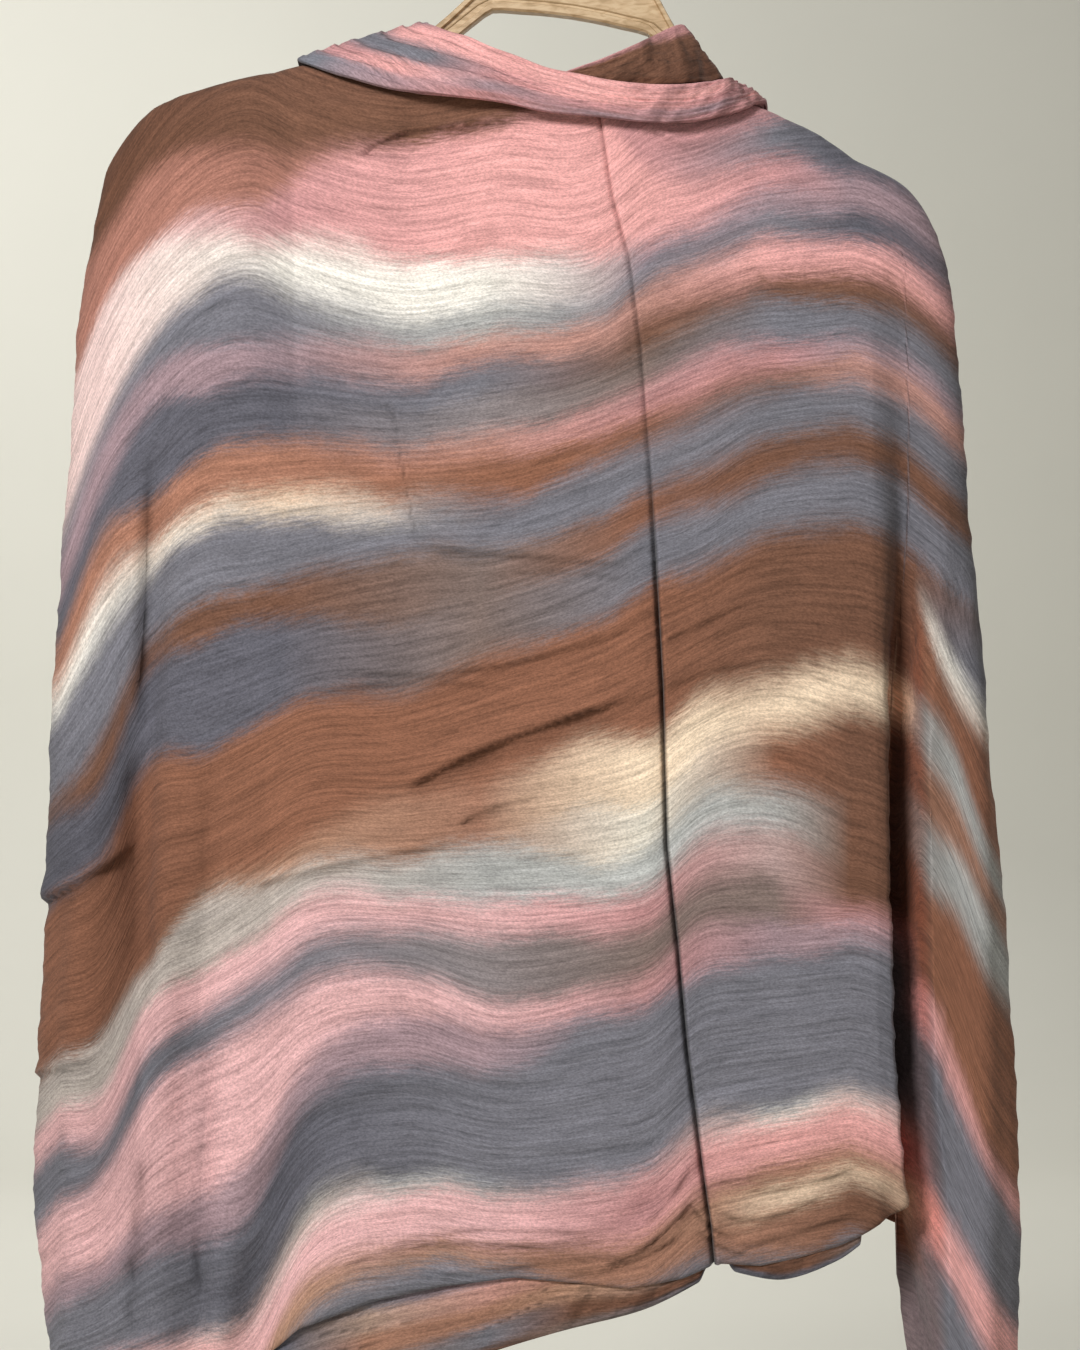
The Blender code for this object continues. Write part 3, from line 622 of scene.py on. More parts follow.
def plasticMaterial():
    # injection moulded polystyrene with a wood-like marbling, satin
    material, tree = newMaterial("marbledPolystyrene")
    where = addNode(tree, "ShaderNodeTexCoord")
    stretched = addNode(tree, "ShaderNodeVectorMath",
                        {"operation": "MULTIPLY", 1: (1.0, 1.0, plastic["flat"])}, {0: (where, 3)})
    marble = addNode(tree, "ShaderNodeTexNoise",
                     {"Scale": 1 / (plastic["marbleSize"] * mm), "Detail": 4.0, "Distortion": 0.7},
                     {"Vector": (stretched, 0)})
    ramp = addNode(tree, "ShaderNodeValToRGB", None, {"Fac": (marble, 0)})
    setStops(ramp, [(place, toLinear(colour)) for place, colour in plastic["marbling"]])
    skin = addNode(tree, "ShaderNodeTexNoise", {"Scale": plastic["skinScale"], "Detail": 2.0},
                   {"Vector": (where, 3)})
    bump = addNode(tree, "ShaderNodeBump", {"Strength": 0.15, "Distance": 0.2 * mm}, {"Height": (skin, 0)})
    shader = addNode(tree, "ShaderNodeBsdfPrincipled",
                     {"Roughness": plastic["roughness"], "IOR": plastic["ior"]},
                     {"Base Color": (ramp, 0), "Normal": (bump, 0)})
    addNode(tree, "ShaderNodeOutputMaterial", None, {"Surface": (shader, 0)})
    return material


def lineMaterial():
    # the same plastic, painted darker along the raised line as its shade
    material, tree = newMaterial("shadedLinePolystyrene")
    where = addNode(tree, "ShaderNodeTexCoord")
    lineShade = addNode(tree, "ShaderNodeTexNoise", {"Scale": plastic["lineShadeScale"], "Detail": 3.0},
                   {"Vector": (where, 3)})
    ramp = addNode(tree, "ShaderNodeValToRGB", None, {"Fac": (lineShade, 0)})
    setStops(ramp, [(place, toLinear(colour)) for place, colour in plastic["lineShade"]])
    shader = addNode(tree, "ShaderNodeBsdfPrincipled",
                     {"Roughness": plastic["lineShadeRoughness"], "IOR": plastic["ior"]},
                     {"Base Color": (ramp, 0)})
    addNode(tree, "ShaderNodeOutputMaterial", None, {"Surface": (shader, 0)})
    return material


def paperMaterial():
    # matt background paper, with the faint unevenness of a long roll
    material, tree = newMaterial("mattPaper")
    where = addNode(tree, "ShaderNodeTexCoord")
    grain = addNode(tree, "ShaderNodeTexNoise", {"Scale": paper["patches"], "Detail": 3.0},
                    {"Vector": (where, 3)})
    ramp = addNode(tree, "ShaderNodeValToRGB", None, {"Fac": (grain, 0)})
    pale = toLinear(paper["colour"])
    setStops(ramp, [(place, [c * share for c in pale]) for place, share in paper["between"]])
    shader = addNode(tree, "ShaderNodeBsdfPrincipled",
                     {"Roughness": paper["roughness"], "Specular IOR Level": 0.1}, {"Base Color": (ramp, 0)})
    addNode(tree, "ShaderNodeOutputMaterial", None, {"Surface": (shader, 0)})
    return material


finish = {"cloth": viscoseMaterial(), "hanger": plasticMaterial(), "beading": lineMaterial()}
print("finishes made")


def newGrid(across, down):
    # a flat grid from -1 to 1, and its points, which are moved to their places
    bm = bmesh.new()
    bmesh.ops.create_grid(bm, x_segments=across, y_segments=down, size=1.0)
    return bm, np.array([v.co[:] for v in bm.verts])


def movePoints(bm, place):
    for vert, co in zip(bm.verts, place * mm):
        vert.co = co


def newPiece(name, bm, material):
    mesh = bpy.data.meshes.new(name)
    bm.to_mesh(mesh)
    bm.free()
    piece = bpy.data.objects.new(name, mesh)
    bpy.context.scene.collection.objects.link(piece)
    mesh.materials.append(material)
    mesh.shade_smooth()
    return piece


def paintCloth(piece, colours, uv):
    # dye attributes, with painted shade multiplied in, one colour to a point, and the crinkle's own map in mm
    mesh = piece.data
    for name, values in colours.items():
        attribute = mesh.color_attributes.new(name, "FLOAT_COLOR", "POINT")
        rgba = np.ones((len(mesh.vertices), 4), np.float32)
        rgba[:, :3] = values
        attribute.data.foreach_set("color", rgba.ravel())
    layer = mesh.uv_layers.new(name="UVMap")
    corner = np.zeros(len(mesh.loops), np.int32)
    mesh.loops.foreach_get("vertex_index", corner)
    layer.data.foreach_set("uv", uv[corner].astype(np.float32).ravel())


sheets = {
    "rows": 300,
    "wall": 0.8,
    "underlap": 8.0,  # mm that the left sheet runs on under the tuck's lip
    "lastRing": 12.3,  # about where the hem is, to start looking for its place
    "footTries": 6,
    "creasedTo": (30, 5),  # mm back over which the creases die out
    "slant": 0.35,  # how far the crinkle's breaks slant, as a share of the height
    "ripple": (0.6, 3.6, 26.0, 2.0),  # mm high, mm across and along in one wave, and seed
    "swell": (0.9, 15.0, 80.0, 5.0),
    "settled": 12,  # rows from the neck, where both are full
    "hemRows": 3,
    "hemTurn": 1.6,  # mm that the hem turns in
    "recessMiddle": 1.643,  # the station where the front's hem gives way to the right tail
    "meets": 0.5,  # stations over which the left tail's hem comes to the front's
    # the hems: x and height in front, then the share of the way round each tail, and height
    "hemFront": ((-217, -908), (-196, -877), (-163, -848), (-125, -833), (-86, -824), (-46, -819), (17, -825),
                 (46, -820), (67, -811), (89, -813), (111, -809), (133, -803), (151, -795), (171, -783),
                 (184, -790), (200, -800)),
    "hemLeft": ((0.0, -905), (0.12, -935), (0.3, -955), (0.55, -957), (0.8, -885), (1.0, -765)),
    "hemRight": ((0.0, -826), (0.08, -872), (0.17, -930), (0.3, -953), (0.52, -957), (0.68, -900),
                 (0.8, -822), (1.0, -765)),
}

tuck = {  # the long pressed fold down the front: its lip on the right, the cloth under it on the left
    "shut": 0.3,  # how open it is near the neck
    "opens": (430, 640),  # px down the image over which it opens
    "lip": 3.6,  # mm that the folded edge stands out
    "reach": 50.0,  # mm over which the lip falls away
    "edge": 1.6,  # mm over which its edge turns in
    "turnIn": 1.6,  # mm that the edge goes in behind the form
    "edgeShade": 0.5,  # how dark the painted shade on the turned edge is
    "dip": 5.0,  # mm that the cloth dips to run in under the lip
    "dipFrom": (-3.0, 0.2),  # mm beside the line where the dip starts and is full
    "hollow": (0.8, 14.0),  # mm deep and half wide
    "softShade": (0.2, 10.0),  # painted shade beside the line: how dark, and mm wide
    "line": (0.75, -1.6, -0.2),  # painted shade line under the lip: how dark, and where it starts and is full
}

# Creases: from, by way of, to in the image, half width px, depth mm, and how much one side laps
# over the other: 1 where the cloth above, or left of a line running up, stands over the line.
creases = (
    ((392, 398), (404, 470), (420, 552), 6, 2.0, 1),
    ((418, 548), (530, 556), (645, 566), 12, 2.0, 1),
    ((470, 578), (560, 570), (640, 584), 8, 1.2, 1),
    ((335, 664), (470, 670), (655, 620), 10, 2.2, 1),
    ((300, 694), (420, 682), (520, 690), 9, 1.0, 1),
    ((402, 792), (500, 742), (656, 690), 20, 4.6, 1),
    ((455, 828), (490, 808), (545, 796), 11, 2.2, 1),
    ((245, 890), (340, 864), (470, 842), 12, 2.0, 1),
    ((10, 912), (75, 884), (140, 836), 14, 4.0, 1),
    ((5, 1078), (55, 1070), (98, 1058), 10, 2.4, 1),
    ((364, 158), (392, 136), (488, 124), 12, 2.8, 1),
    ((366, 158), (372, 142), (396, 131), 7, -2.6, 0),
    ((440, 130), (530, 116), (616, 108), 10, 2.6, 1),
    ((310, 118), (390, 100), (520, 96), 12, 1.8, 0),
    ((650, 128), (672, 140), (694, 152), 6, 1.6, 1),
    ((244, 1372), (262, 1220), (330, 1090), 22, -5.0, 0),
    ((286, 1372), (310, 1240), (380, 1120), 20, 2.6, 0),
    ((139, 730), (141, 600), (149, 430), 15, 4.2, 1),
    ((140, 745), (138, 860), (146, 990), 11, -4.0, 0),
    ((206, 760), (212, 840), (208, 930), 9, -2.6, 0),
    ((118, 560), (105, 640), (80, 720), 9, -2.2, 0),
    ((196, 1340), (196, 1180), (203, 1010), 16, 2.6, 1),
    ((128, 1350), (132, 1240), (146, 1130), 14, 2.4, 1),
    ((690, 1196), (706, 1222), (742, 1236), 9, 2.6, 1),
    ((695, 1226), (720, 1244), (752, 1254), 8, 2.6, 1),
    ((716, 1205), (760, 1218), (830, 1190), 10, 2.2, 1),
    ((735, 1246), (790, 1234), (872, 1206), 9, 1.8, 1),
    ((600, 1264), (650, 1242), (700, 1190), 12, 3.0, 1),
    ((520, 1262), (600, 1240), (690, 1170), 14, -2.4, 0),
    ((336, 1270), (440, 1243), (590, 1256), 7, 2.2, 1),
    ((380, 1246), (480, 1229), (610, 1236), 6, 1.5, 1),
    ((430, 1276), (520, 1266), (650, 1250), 6, 1.8, 1),
    ((560, 1272), (630, 1262), (696, 1222), 7, 2.2, 1),
    ((636, 1224), (664, 1206), (692, 1160), 8, 1.8, 1),
    ((742, 1190), (800, 1186), (868, 1160), 8, 1.8, 1),
    ((704, 1196), (722, 1180), (770, 1176), 6, 1.6, 1),
    ((698, 1150), (706, 1176), (712, 1200), 8, -1.8, 0),
    ((664, 640), (690, 628), (760, 596), 9, 1.6, 1),
    ((655, 702), (700, 674), (780, 660), 9, 1.4, 1),
    ((300, 1130), (420, 1100), (560, 1108), 16, -1.6, 0),
    ((270, 1190), (380, 1150), (560, 1160), 14, 1.5, 0),
    ((130, 300), (200, 236), (280, 230), 20, 1.6, 0),
    ((160, 480), (240, 452), (380, 470), 16, -1.4, 0),
    ((500, 212), (490, 240), (470, 262), 8, -0.9, 0),
    ((884, 1180), (900, 1250), (925, 1350), 9, -4.0, 0),
    ((905, 1190), (925, 1260), (945, 1350), 9, 3.0, 0),
)
creasing = {
    "steps": 24,  # straight lengths along the bent line
    "reach": 4,  # half widths to each side
    "fade": (0.0, 0.16, 0.8, 1.0),  # where along it a crease comes in, and where it runs out
    "uneven": (0.82, 0.18, 17.0),  # how deep it stays, how much that swings, and how fast
    "step": (-1.2, 2.2),  # px over which a lapping side drops to the other
    "low": (0.55, 1.5),  # how far the lower side sinks, and how much wider
    "valleyShade": 0.05,  # painted shade in a valley, for each mm of depth
    "line": (0.26, 0.07, 0.55, 1.5, 2.3),  # painted shade along the line: dark, more for each mm, at most, px off the line, px wide
    "under": (0.09, 3.6, 0.9),  # painted shade below the lap: dark for each mm, as far as this depth, and share of the width
}


def creaseRelief(x, y):
    # how far the creases lift the cloth, in mm, and how dark their painted shade is
    lift, dark = np.zeros_like(x), np.zeros_like(x)
    steps, (even, swing, beat) = creasing["steps"], creasing["uneven"]
    sink, wider = creasing["low"]
    lineDark, lineMore, lineMost, lineOff, lineWide = creasing["line"]
    underDark, underMost, underWide = creasing["under"]
    t = np.linspace(0, 1, steps + 1)[:, None]
    for start, bend, end, width, deep, lap in creases:
        start, bend, end = (np.array(point, float) for point in (start, bend, end))
        reach = creasing["reach"] * width
        low = np.minimum(np.minimum(start, bend), end) - reach
        high = np.maximum(np.maximum(start, bend), end) + reach
        near = np.flatnonzero((x > low[0]) & (x < high[0]) & (y > low[1]) & (y < high[1]))
        if not len(near):
            continue
        px, py = x[near], y[near]
        best, run, side = np.full(len(near), np.inf), np.zeros(len(near)), np.zeros(len(near))
        through = 2 * bend - (start + end) / 2
        path = (1 - t) ** 2 * start + 2 * t * (1 - t) * through + t * t * end
        for i, (a, b) in enumerate(zip(path, path[1:])):
            dx, dy = b - a
            share = np.clip(((px - a[0]) * dx + (py - a[1]) * dy) / (dx * dx + dy * dy), 0, 1)
            away = np.hypot(px - a[0] - share * dx, py - a[1] - share * dy)
            closer = away < best
            best = np.where(closer, away, best)
            run = np.where(closer, (i + share) / steps, run)
            side = np.where(closer, np.sign(dx * (py - a[1]) - dy * (px - a[0])), side)
        fade = inAndOut(creasing["fade"], run) * (even + swing * np.sin(run * beat + width))
        signed = best * side
        bump = np.exp(-((best / width) ** 2))
        below = smoothStep(*creasing["step"], signed)
        lapped = bump * (1 - below) - sink * np.exp(-((best / (wider * width)) ** 2)) * below
        lift[near] += deep * fade * (lapped if lap else bump)
        # painted shade: the crease's line and the cloth below its lap are darkened
        if lap:
            line = min(lineMost, lineDark + lineMore * deep) * np.exp(-(((signed - lineOff) / lineWide) ** 2))
            under = underDark * min(deep, underMost) * below * np.exp(-((best / (underWide * width)) ** 2))
            dark[near] = np.maximum(dark[near], fade * np.maximum(line, under))
        elif deep < 0:
            dark[near] = np.maximum(dark[near], creasing["valleyShade"] * -deep * fade * bump)
    return lift, dark


def tuckRelief(beside, y, lip):
    # how far the tuck lifts the cloth, in mm, and how light its painted shade leaves it
    opened = tuck["shut"] + (1 - tuck["shut"]) * smoothStep(*tuck["opens"], y)
    if lip:
        turned = (1 - smoothStep(0.0, tuck["edge"], beside)) * opened
        out = tuck["lip"] * (1 - np.clip(beside / tuck["reach"], 0, 1)) ** 2 * opened
        return out - (tuck["lip"] + tuck["turnIn"]) * turned, 1 - tuck["edgeShade"] * turned
    (hollow, hollowWide), (soft, softWide) = tuck["hollow"], tuck["softShade"]
    line, starts, isFull = tuck["line"]
    out = -tuck["dip"] * smoothStep(*tuck["dipFrom"], beside) * opened
    out = out - hollow * np.exp(-((beside / hollowWide) ** 2))
    light = 1 - soft * opened * np.exp(-((beside / softWide) ** 2))
    return out, light * (1 - line * opened * smoothStep(starts, isFull, beside))


def makeSheet(name, sections, foot, lip=False, lobe=False):
    # sections run from guide to guide: mm past the second, columns, and how these crowd
    # foot gives the hem's height for each column, from where it stands among the sections
    stations = [0.0]
    for i, (_, _, _, count, crowd) in enumerate(sections):
        stations += list(i + np.interp(np.linspace(0, 1, count + 1)[1:], *crowd))
    stations = np.array(stations)
    section = np.minimum(stations.astype(int), len(sections) - 1)
    columns, rows = len(stations) - 1, sheets["rows"]

    def sAt(level, column):
        share = (stations - section)[column]
        total = np.zeros_like(level)
        for i, (start, end, past, _, _) in enumerate(sections):
            a, b = atLevel(start, level), atLevel(end, level) + past
            total = np.where(section[column] == i, a + (b - a) * share, total)
        return total

    footLevel = np.full(columns + 1, sheets["lastRing"])
    for _ in range(sheets["footTries"]):
        place, _ = onStole(footLevel, sAt(footLevel, np.arange(columns + 1)))
        footLevel = levelAt(foot(stations, place[:, 0]))
    footZ = np.interp(footLevel, stole["levels"], stole["frontZ"])

    bm, grid = newGrid(columns, rows)
    column = np.rint((grid[:, 0] + 1) / 2 * columns).astype(int)
    row = np.rint((1 - grid[:, 1]) / 2 * rows)
    topZ = stole["frontZ"][0]
    level = levelAt(topZ + (footZ[column] - topZ) * row / rows)
    s = sAt(level, column)
    place, facing = onStole(level, s)
    x, y = inPicture(place)
    for side, turn in (("leftSide", -1), ("rightSide", 1)):  # behind the sides, x runs on unrolled
        edge = atLevel(side, level)
        edgeX, _ = inPicture(onStole(level, edge)[0])
        x = np.where((s - edge) * turn > 0, edgeX + (s - edge) / picture["mmPerPixel"], x)

    lift, dark = creaseRelief(x, y)
    inFront = smoothStep(*sheets["creasedTo"], place[:, 1])
    # light is painted shade from the pressed lines, the creases and the tuck
    out, light = lift * inFront, pressedShade(x, y) * (1 - dark * inFront)
    if lip or sections[-1][1] == "tuck":
        tucked, tuckLight = tuckRelief(s - atLevel("tuck", level), y, lip)
        out, light = out + tucked, light * tuckLight
    flow = flowAt(bands, bandPlaces, dyeing["flowBands"], x, y)
    deepShade, overToLobe = np.ones((len(x), 3)), np.zeros_like(x)
    if lobe:
        t = (s - atLevel("recessEdge", level)) / atLevel("recessWidth", level)
        recessDepth = readTable(drape["recess"], place[:, 2])
        overToLobe = smoothStep(*pleat["lobeDye"], t) * smoothStep(*pleat["lobeDyeDepth"], recessDepth)
        lobeX = np.maximum(x, lobePlaces[0])
        beyond = flowAt(lobeBands, lobePlaces, dyeing["lobeFlow"], lobeX, y)
        flow = flow * (1 - overToLobe) + beyond * overToLobe
        # painted shade deep in the recess
        inRecess = inAndOut(pleat["shade"], t) * smoothStep(*pleat["shadeDown"], y)
        deepShade = 1 - inRecess[:, None] * (1 - np.array(dyeing["recessShade"]))
    along = s + sheets["slant"] * place[:, 2] * (1 - overToLobe)
    for high, across, longWay, seed in (sheets["ripple"], sheets["swell"]):
        wave = wander(flow / across, along / longWay, seed)
        out = out + high * wave * smoothStep(0, sheets["settled"], row)
    hem = np.clip((row - (rows - sheets["hemRows"])) / sheets["hemRows"], 0, 1)
    movePoints(bm, place + facing * (out - sheets["hemTurn"] * hem**2)[:, None])
    piece = newPiece(name, bm, finish["cloth"])

    onFront = dyeReader(bands, bandPlaces, tintPlaces, x)
    onLobe = dyeReader(lobeBands, lobePlaces, lobeTints, lobeX) if lobe else None
    colours = {}
    for attribute, shift in (("dye", 0.0), ("dyeUp", -dyeing["streak"]), ("dyeDown", dyeing["streak"])):
        colour = onFront(y + shift)
        if lobe:
            colour = colour * (1 - overToLobe[:, None]) + onLobe(y + shift) * overToLobe[:, None]
        # the dye with the painted shade multiplied in
        colours[attribute] = colour * deepShade * light[:, None]
    paintCloth(piece, colours, np.stack([along, flow], -1))
    wall = piece.modifiers.new("wall", "SOLIDIFY")
    wall.thickness = sheets["wall"] * mm
    wall.offset = -1.0
    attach(piece, "root")
    print(name, columns, "x", rows)
    return piece


def leftFoot(stations, x):
    # from the side round to the front: the long tail, then the front's own hem
    tail = readTable(sheets["hemLeft"], 0.5 * (1 - np.minimum(stations, 1)))
    seam = np.argmin(np.abs(stations - 1))
    step = readTable(sheets["hemFront"], x[seam]) - tail[seam]
    tail = tail + step * (1 - smoothStep(0, sheets["meets"], 1 - stations))
    return np.where(stations < 1, tail, readTable(sheets["hemFront"], x))


def leftBehindFoot(stations, x):
    return readTable(sheets["hemLeft"], 1 - 0.5 * stations)


def rightFoot(stations, x):
    # the front's hem as far as the middle of the recess, then the right tail
    middle = sheets["recessMiddle"]
    tail = readTable(sheets["hemRight"], np.interp(stations, (middle, 2, 3), (0, 1 / 3, 2 / 3)))
    return np.where(stations > middle, tail, readTable(sheets["hemFront"], x))


def rightBehindFoot(stations, x):
    return readTable(sheets["hemRight"], 2 / 3 + stations / 3)


evenly = ((0, 1), (0, 1))
leftBehind = makeSheet("leftBehind", (("leftInner", "leftSide", 0, 84, evenly),), leftBehindFoot)
leftFront = makeSheet("leftFront", (
    ("leftSide", "sideSeam", 0, 36, evenly),
    ("sideSeam", "tuck", sheets["underlap"], 124, ((0, 0.88, 1), (0, 0.94, 1))),
), leftFoot)
rightFront = makeSheet("rightFront", (
    ("tuck", "recessEdge", 0, 58, ((0, 0.12, 1), (0, 0.044, 1))),
    ("recessEdge", "lobeEdge", 0, 40, ((0, 0.4, 1), (0, 0.66, 1))),
    ("lobeEdge", "rightSide", 0, 28, evenly),
), rightFoot, lip=True, lobe=True)
rightBehind = makeSheet("rightBehind", (("rightSide", "rightInner", 0, 76, evenly),), rightBehindFoot,
                        lobe=True)
for sheet, nodes, slot in (
    (leftBehind, ("left_behind",), "rust"),
    (leftFront, ("left_fall", "front_left"), "slate"),
    (rightFront, ("front_right", "right_fall"), "rust"),
    (rightBehind, ("right_behind",), "slate"),
):
    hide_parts(*nodes)

rolls = {
    "collarRoll": {
        # cuts through the roll: near edge x, y, z, far edge x, y, z, thickness
        "cuts": (
            (-112, 42, -262, -134, 43, -262, 3.0), (-106, 39, -214, -146, 42, -218, 5.0),
            (-100, 29, -166, -158, 36, -176, 5.5), (-96, 14, -128, -168, 20, -147, 5.5),
            (-96, 0, -116.5, -171, 0, -137.5, 5.5), (-94, -11, -119, -168, -12, -140, 5.5),
            (-82, -18, -125, -158, -20, -145, 6.0), (-71, -25, -130, -142, -29, -152, 7.0),
            (-58, -32, -137.5, -115, -35, -161, 8.0), (-43, -37, -144, -88, -39, -165, 8.0),
            (-27, -39, -150.5, -54, -40, -169.5, 8.0), (-10, -40, -154, -29, -41, -175, 8.0),
            (8, -40, -157.5, 0, -41, -178, 8.0), (26, -40, -159.5, 24, -41, -180.5, 8.0),
            (45, -38, -159.5, 46.5, -40, -181, 8.0), (61, -31, -156.5, 65, -36, -177.5, 7.5),
            (72, -20, -152.5, 83, -28, -171, 6.0), (77.5, -10, -151, 92.5, -14, -163.5, 5.0),
            (80.5, 0, -151.5, 98.5, 0, -162, 5.0), (81, 15, -161, 101, 20, -174, 5.0),
            (79, 28, -188, 103, 34, -196, 5.0), (77, 37, -226, 99, 41, -230, 4.5),
            (77, 43, -274, 93, 45, -276, 3.0),
        ),
        # crumple: the cuts where it comes in and goes, and mm high
        "pleats": 6.4, "pleatDepth": 2.3, "twist": 1.3, "seed": 1.0, "crumple": (13.0, 17.6, 2.8),
        # the cut, and the dyes there from the near edge to the far one
        "colours": ((0, "slate rose slate rose slate"), (4.2, "blueSlate rose slate rose slate"),
                    (5.6, "rose pink slate rose blueSlate"), (7.5, "pink pink slate pink mauve"),
                    (9.5, "pink pink rose mauve rose"), (12, "pink pink pink rose mauve"),
                    (15, "rose pink rose mauve rose"), (17, "rose rose rose pink rose"),
                    (22, "rose rose slate rose slate")),
    },
    "neckFold": {
        "cuts": (
            (-19, -33.2, -151.5, -20, -33.2, -157, 2.6), (-8, -33, -147.5, -8, -33.2, -158.5, 3.0),
            (3, -32.5, -143.5, 8, -33, -159, 3.4), (18, -28, -136, 30, -32, -158, 3.6),
            (30, -19, -128.5, 50, -27, -156, 4.0), (40, -11, -121.5, 62, -17, -153, 4.0),
            (47.5, -6, -117.5, 70, -7, -149, 4.0), (49, 0, -117.2, 73, 0, -147, 4.0),
            (50, 8, -122, 74, 7, -151, 4.0), (50, 15, -146, 73, 14, -166, 4.0),
            (52, 18, -190, 71, 18, -198, 3.6), (55, 20, -226, 68, 20, -228, 2.6),
        ),
        "pleats": 4.3, "pleatDepth": 1.5, "twist": 1.5, "seed": 3.0, "crumple": (2.5, 8.0, 2.6),
        "colours": ((0, "rose brown brown brown brown"), (3, "rose brown brown brown darkBrown"),
                    (6, "rose brown brown darkBrown darkBrown"), (7, "rose rustMauve brown brown darkBrown"),
                    (11, "brown brown darkBrown brown brown")),
    },
    "hemRollLeft": {
        "cuts": (
            (-214, -27, -897, -228, -26, -948, 8.0), (-179, -48.5, -853, -186, -49, -910, 11.0),
            (-124, -59, -829, -130, -59, -886, 13.0), (-69, -60, -816, -71, -60, -866, 14.0),
            (-22, -61, -810, -23, -61, -851, 13.0), (22, -61.5, -809, 26, -61.5, -838, 12.0),
            (58, -62.5, -805, 61, -62.5, -820, 9.0),
        ),
        "pleats": 6.2, "pleatDepth": 2.0, "twist": 0.85, "seed": 5.0, "crumple": (4.5, 6.0, 1.6),
        "colours": ((0, "slate slate darkSlate slate slate"), (1.2, "slate darkSlate slate slate slate"),
                    (2, "slate sand tan taupe slate"), (3.2, "mauve salmon tan slate brown"),
                    (4.2, "rose tan camel brown taupe"), (6, "brown tan taupe brown darkSlate")),
    },
    "hemRollRight": {
        "cuts": (
            (70, -62.7, -800, 70, -62.7, -816, 8.0), (99, -60.8, -797, 101, -60.8, -822, 10.0),
            (127, -58.8, -790, 130, -58.8, -813, 9.0), (144, -57.2, -786, 147, -57.2, -802, 7.0),
        ),
        "pleats": 4.2, "pleatDepth": 1.4, "twist": 0.65, "seed": 7.0, "crumple": (0.0, 1.2, 1.8),
        "colours": ((0, "brown tan brown brown darkSlate"), (1.5, "tan brown brown brown darkSlate"),
                    (3, "brown brown brown taupe slate")),
    },
}
rolling = {
    "along": 48.0,  # mm along in one slow drift of the pleats
    "across": (2.0, 3.0),  # how far that drift, and each pleat's strength, differ across
    "uneven": (0.35, 7.0, 0.9, 37.0),  # pleats aside, how often across, how far that bends, mm along
    "crest": 0.82,  # where each pleat folds over, as a share of it
    "rise": (2.0, 0.7),  # how steeply it rises to there, and from how far below the roll's form
    "weakest": 0.45,  # strength of the weakest pleat
    "strengthOver": (30.0, -0.5, 0.6),  # mm along, and the noise at the weakest and the strongest
    "crumpleOver": (5.4, 3.0, 3.4),  # mm along in one crumple, how it slants, and across
    "fine": (0.5, 31.0, 19.0),  # mm high, across, and mm along
    "inside": 0.5,  # how much the pleats show on the hidden face
    "fromEdge": 1.8,  # how soon the pleats are full beside the two edges
    "fullness": 0.6,  # 1 is an ellipse, and less is boxier
    "ends": (0.25, 0.35, 0.3),  # cuts over which the ends draw in, and how wide and thick they end
    "foldShade": (0.6, 0.97, 0.08),  # painted shade in each pleat's fold: how dark, where in the pleat, and how wide
    "crumpleShade": (0.32, 0.0, -0.6),  # painted shade in the crumples: how dark, and the noise where it starts and is full
    "dyeFollows": 0.5,  # how far the bands of dye go with the pleats
    "mixOver": (0.2, 0.8),  # share of the way from one dye to the next over which they mix
    "streak": 0.03,  # share of the way across from which a fleck takes its colour
    "otherFace": 400,  # mm that the hidden face's crinkle is moved along, so that it differs
}


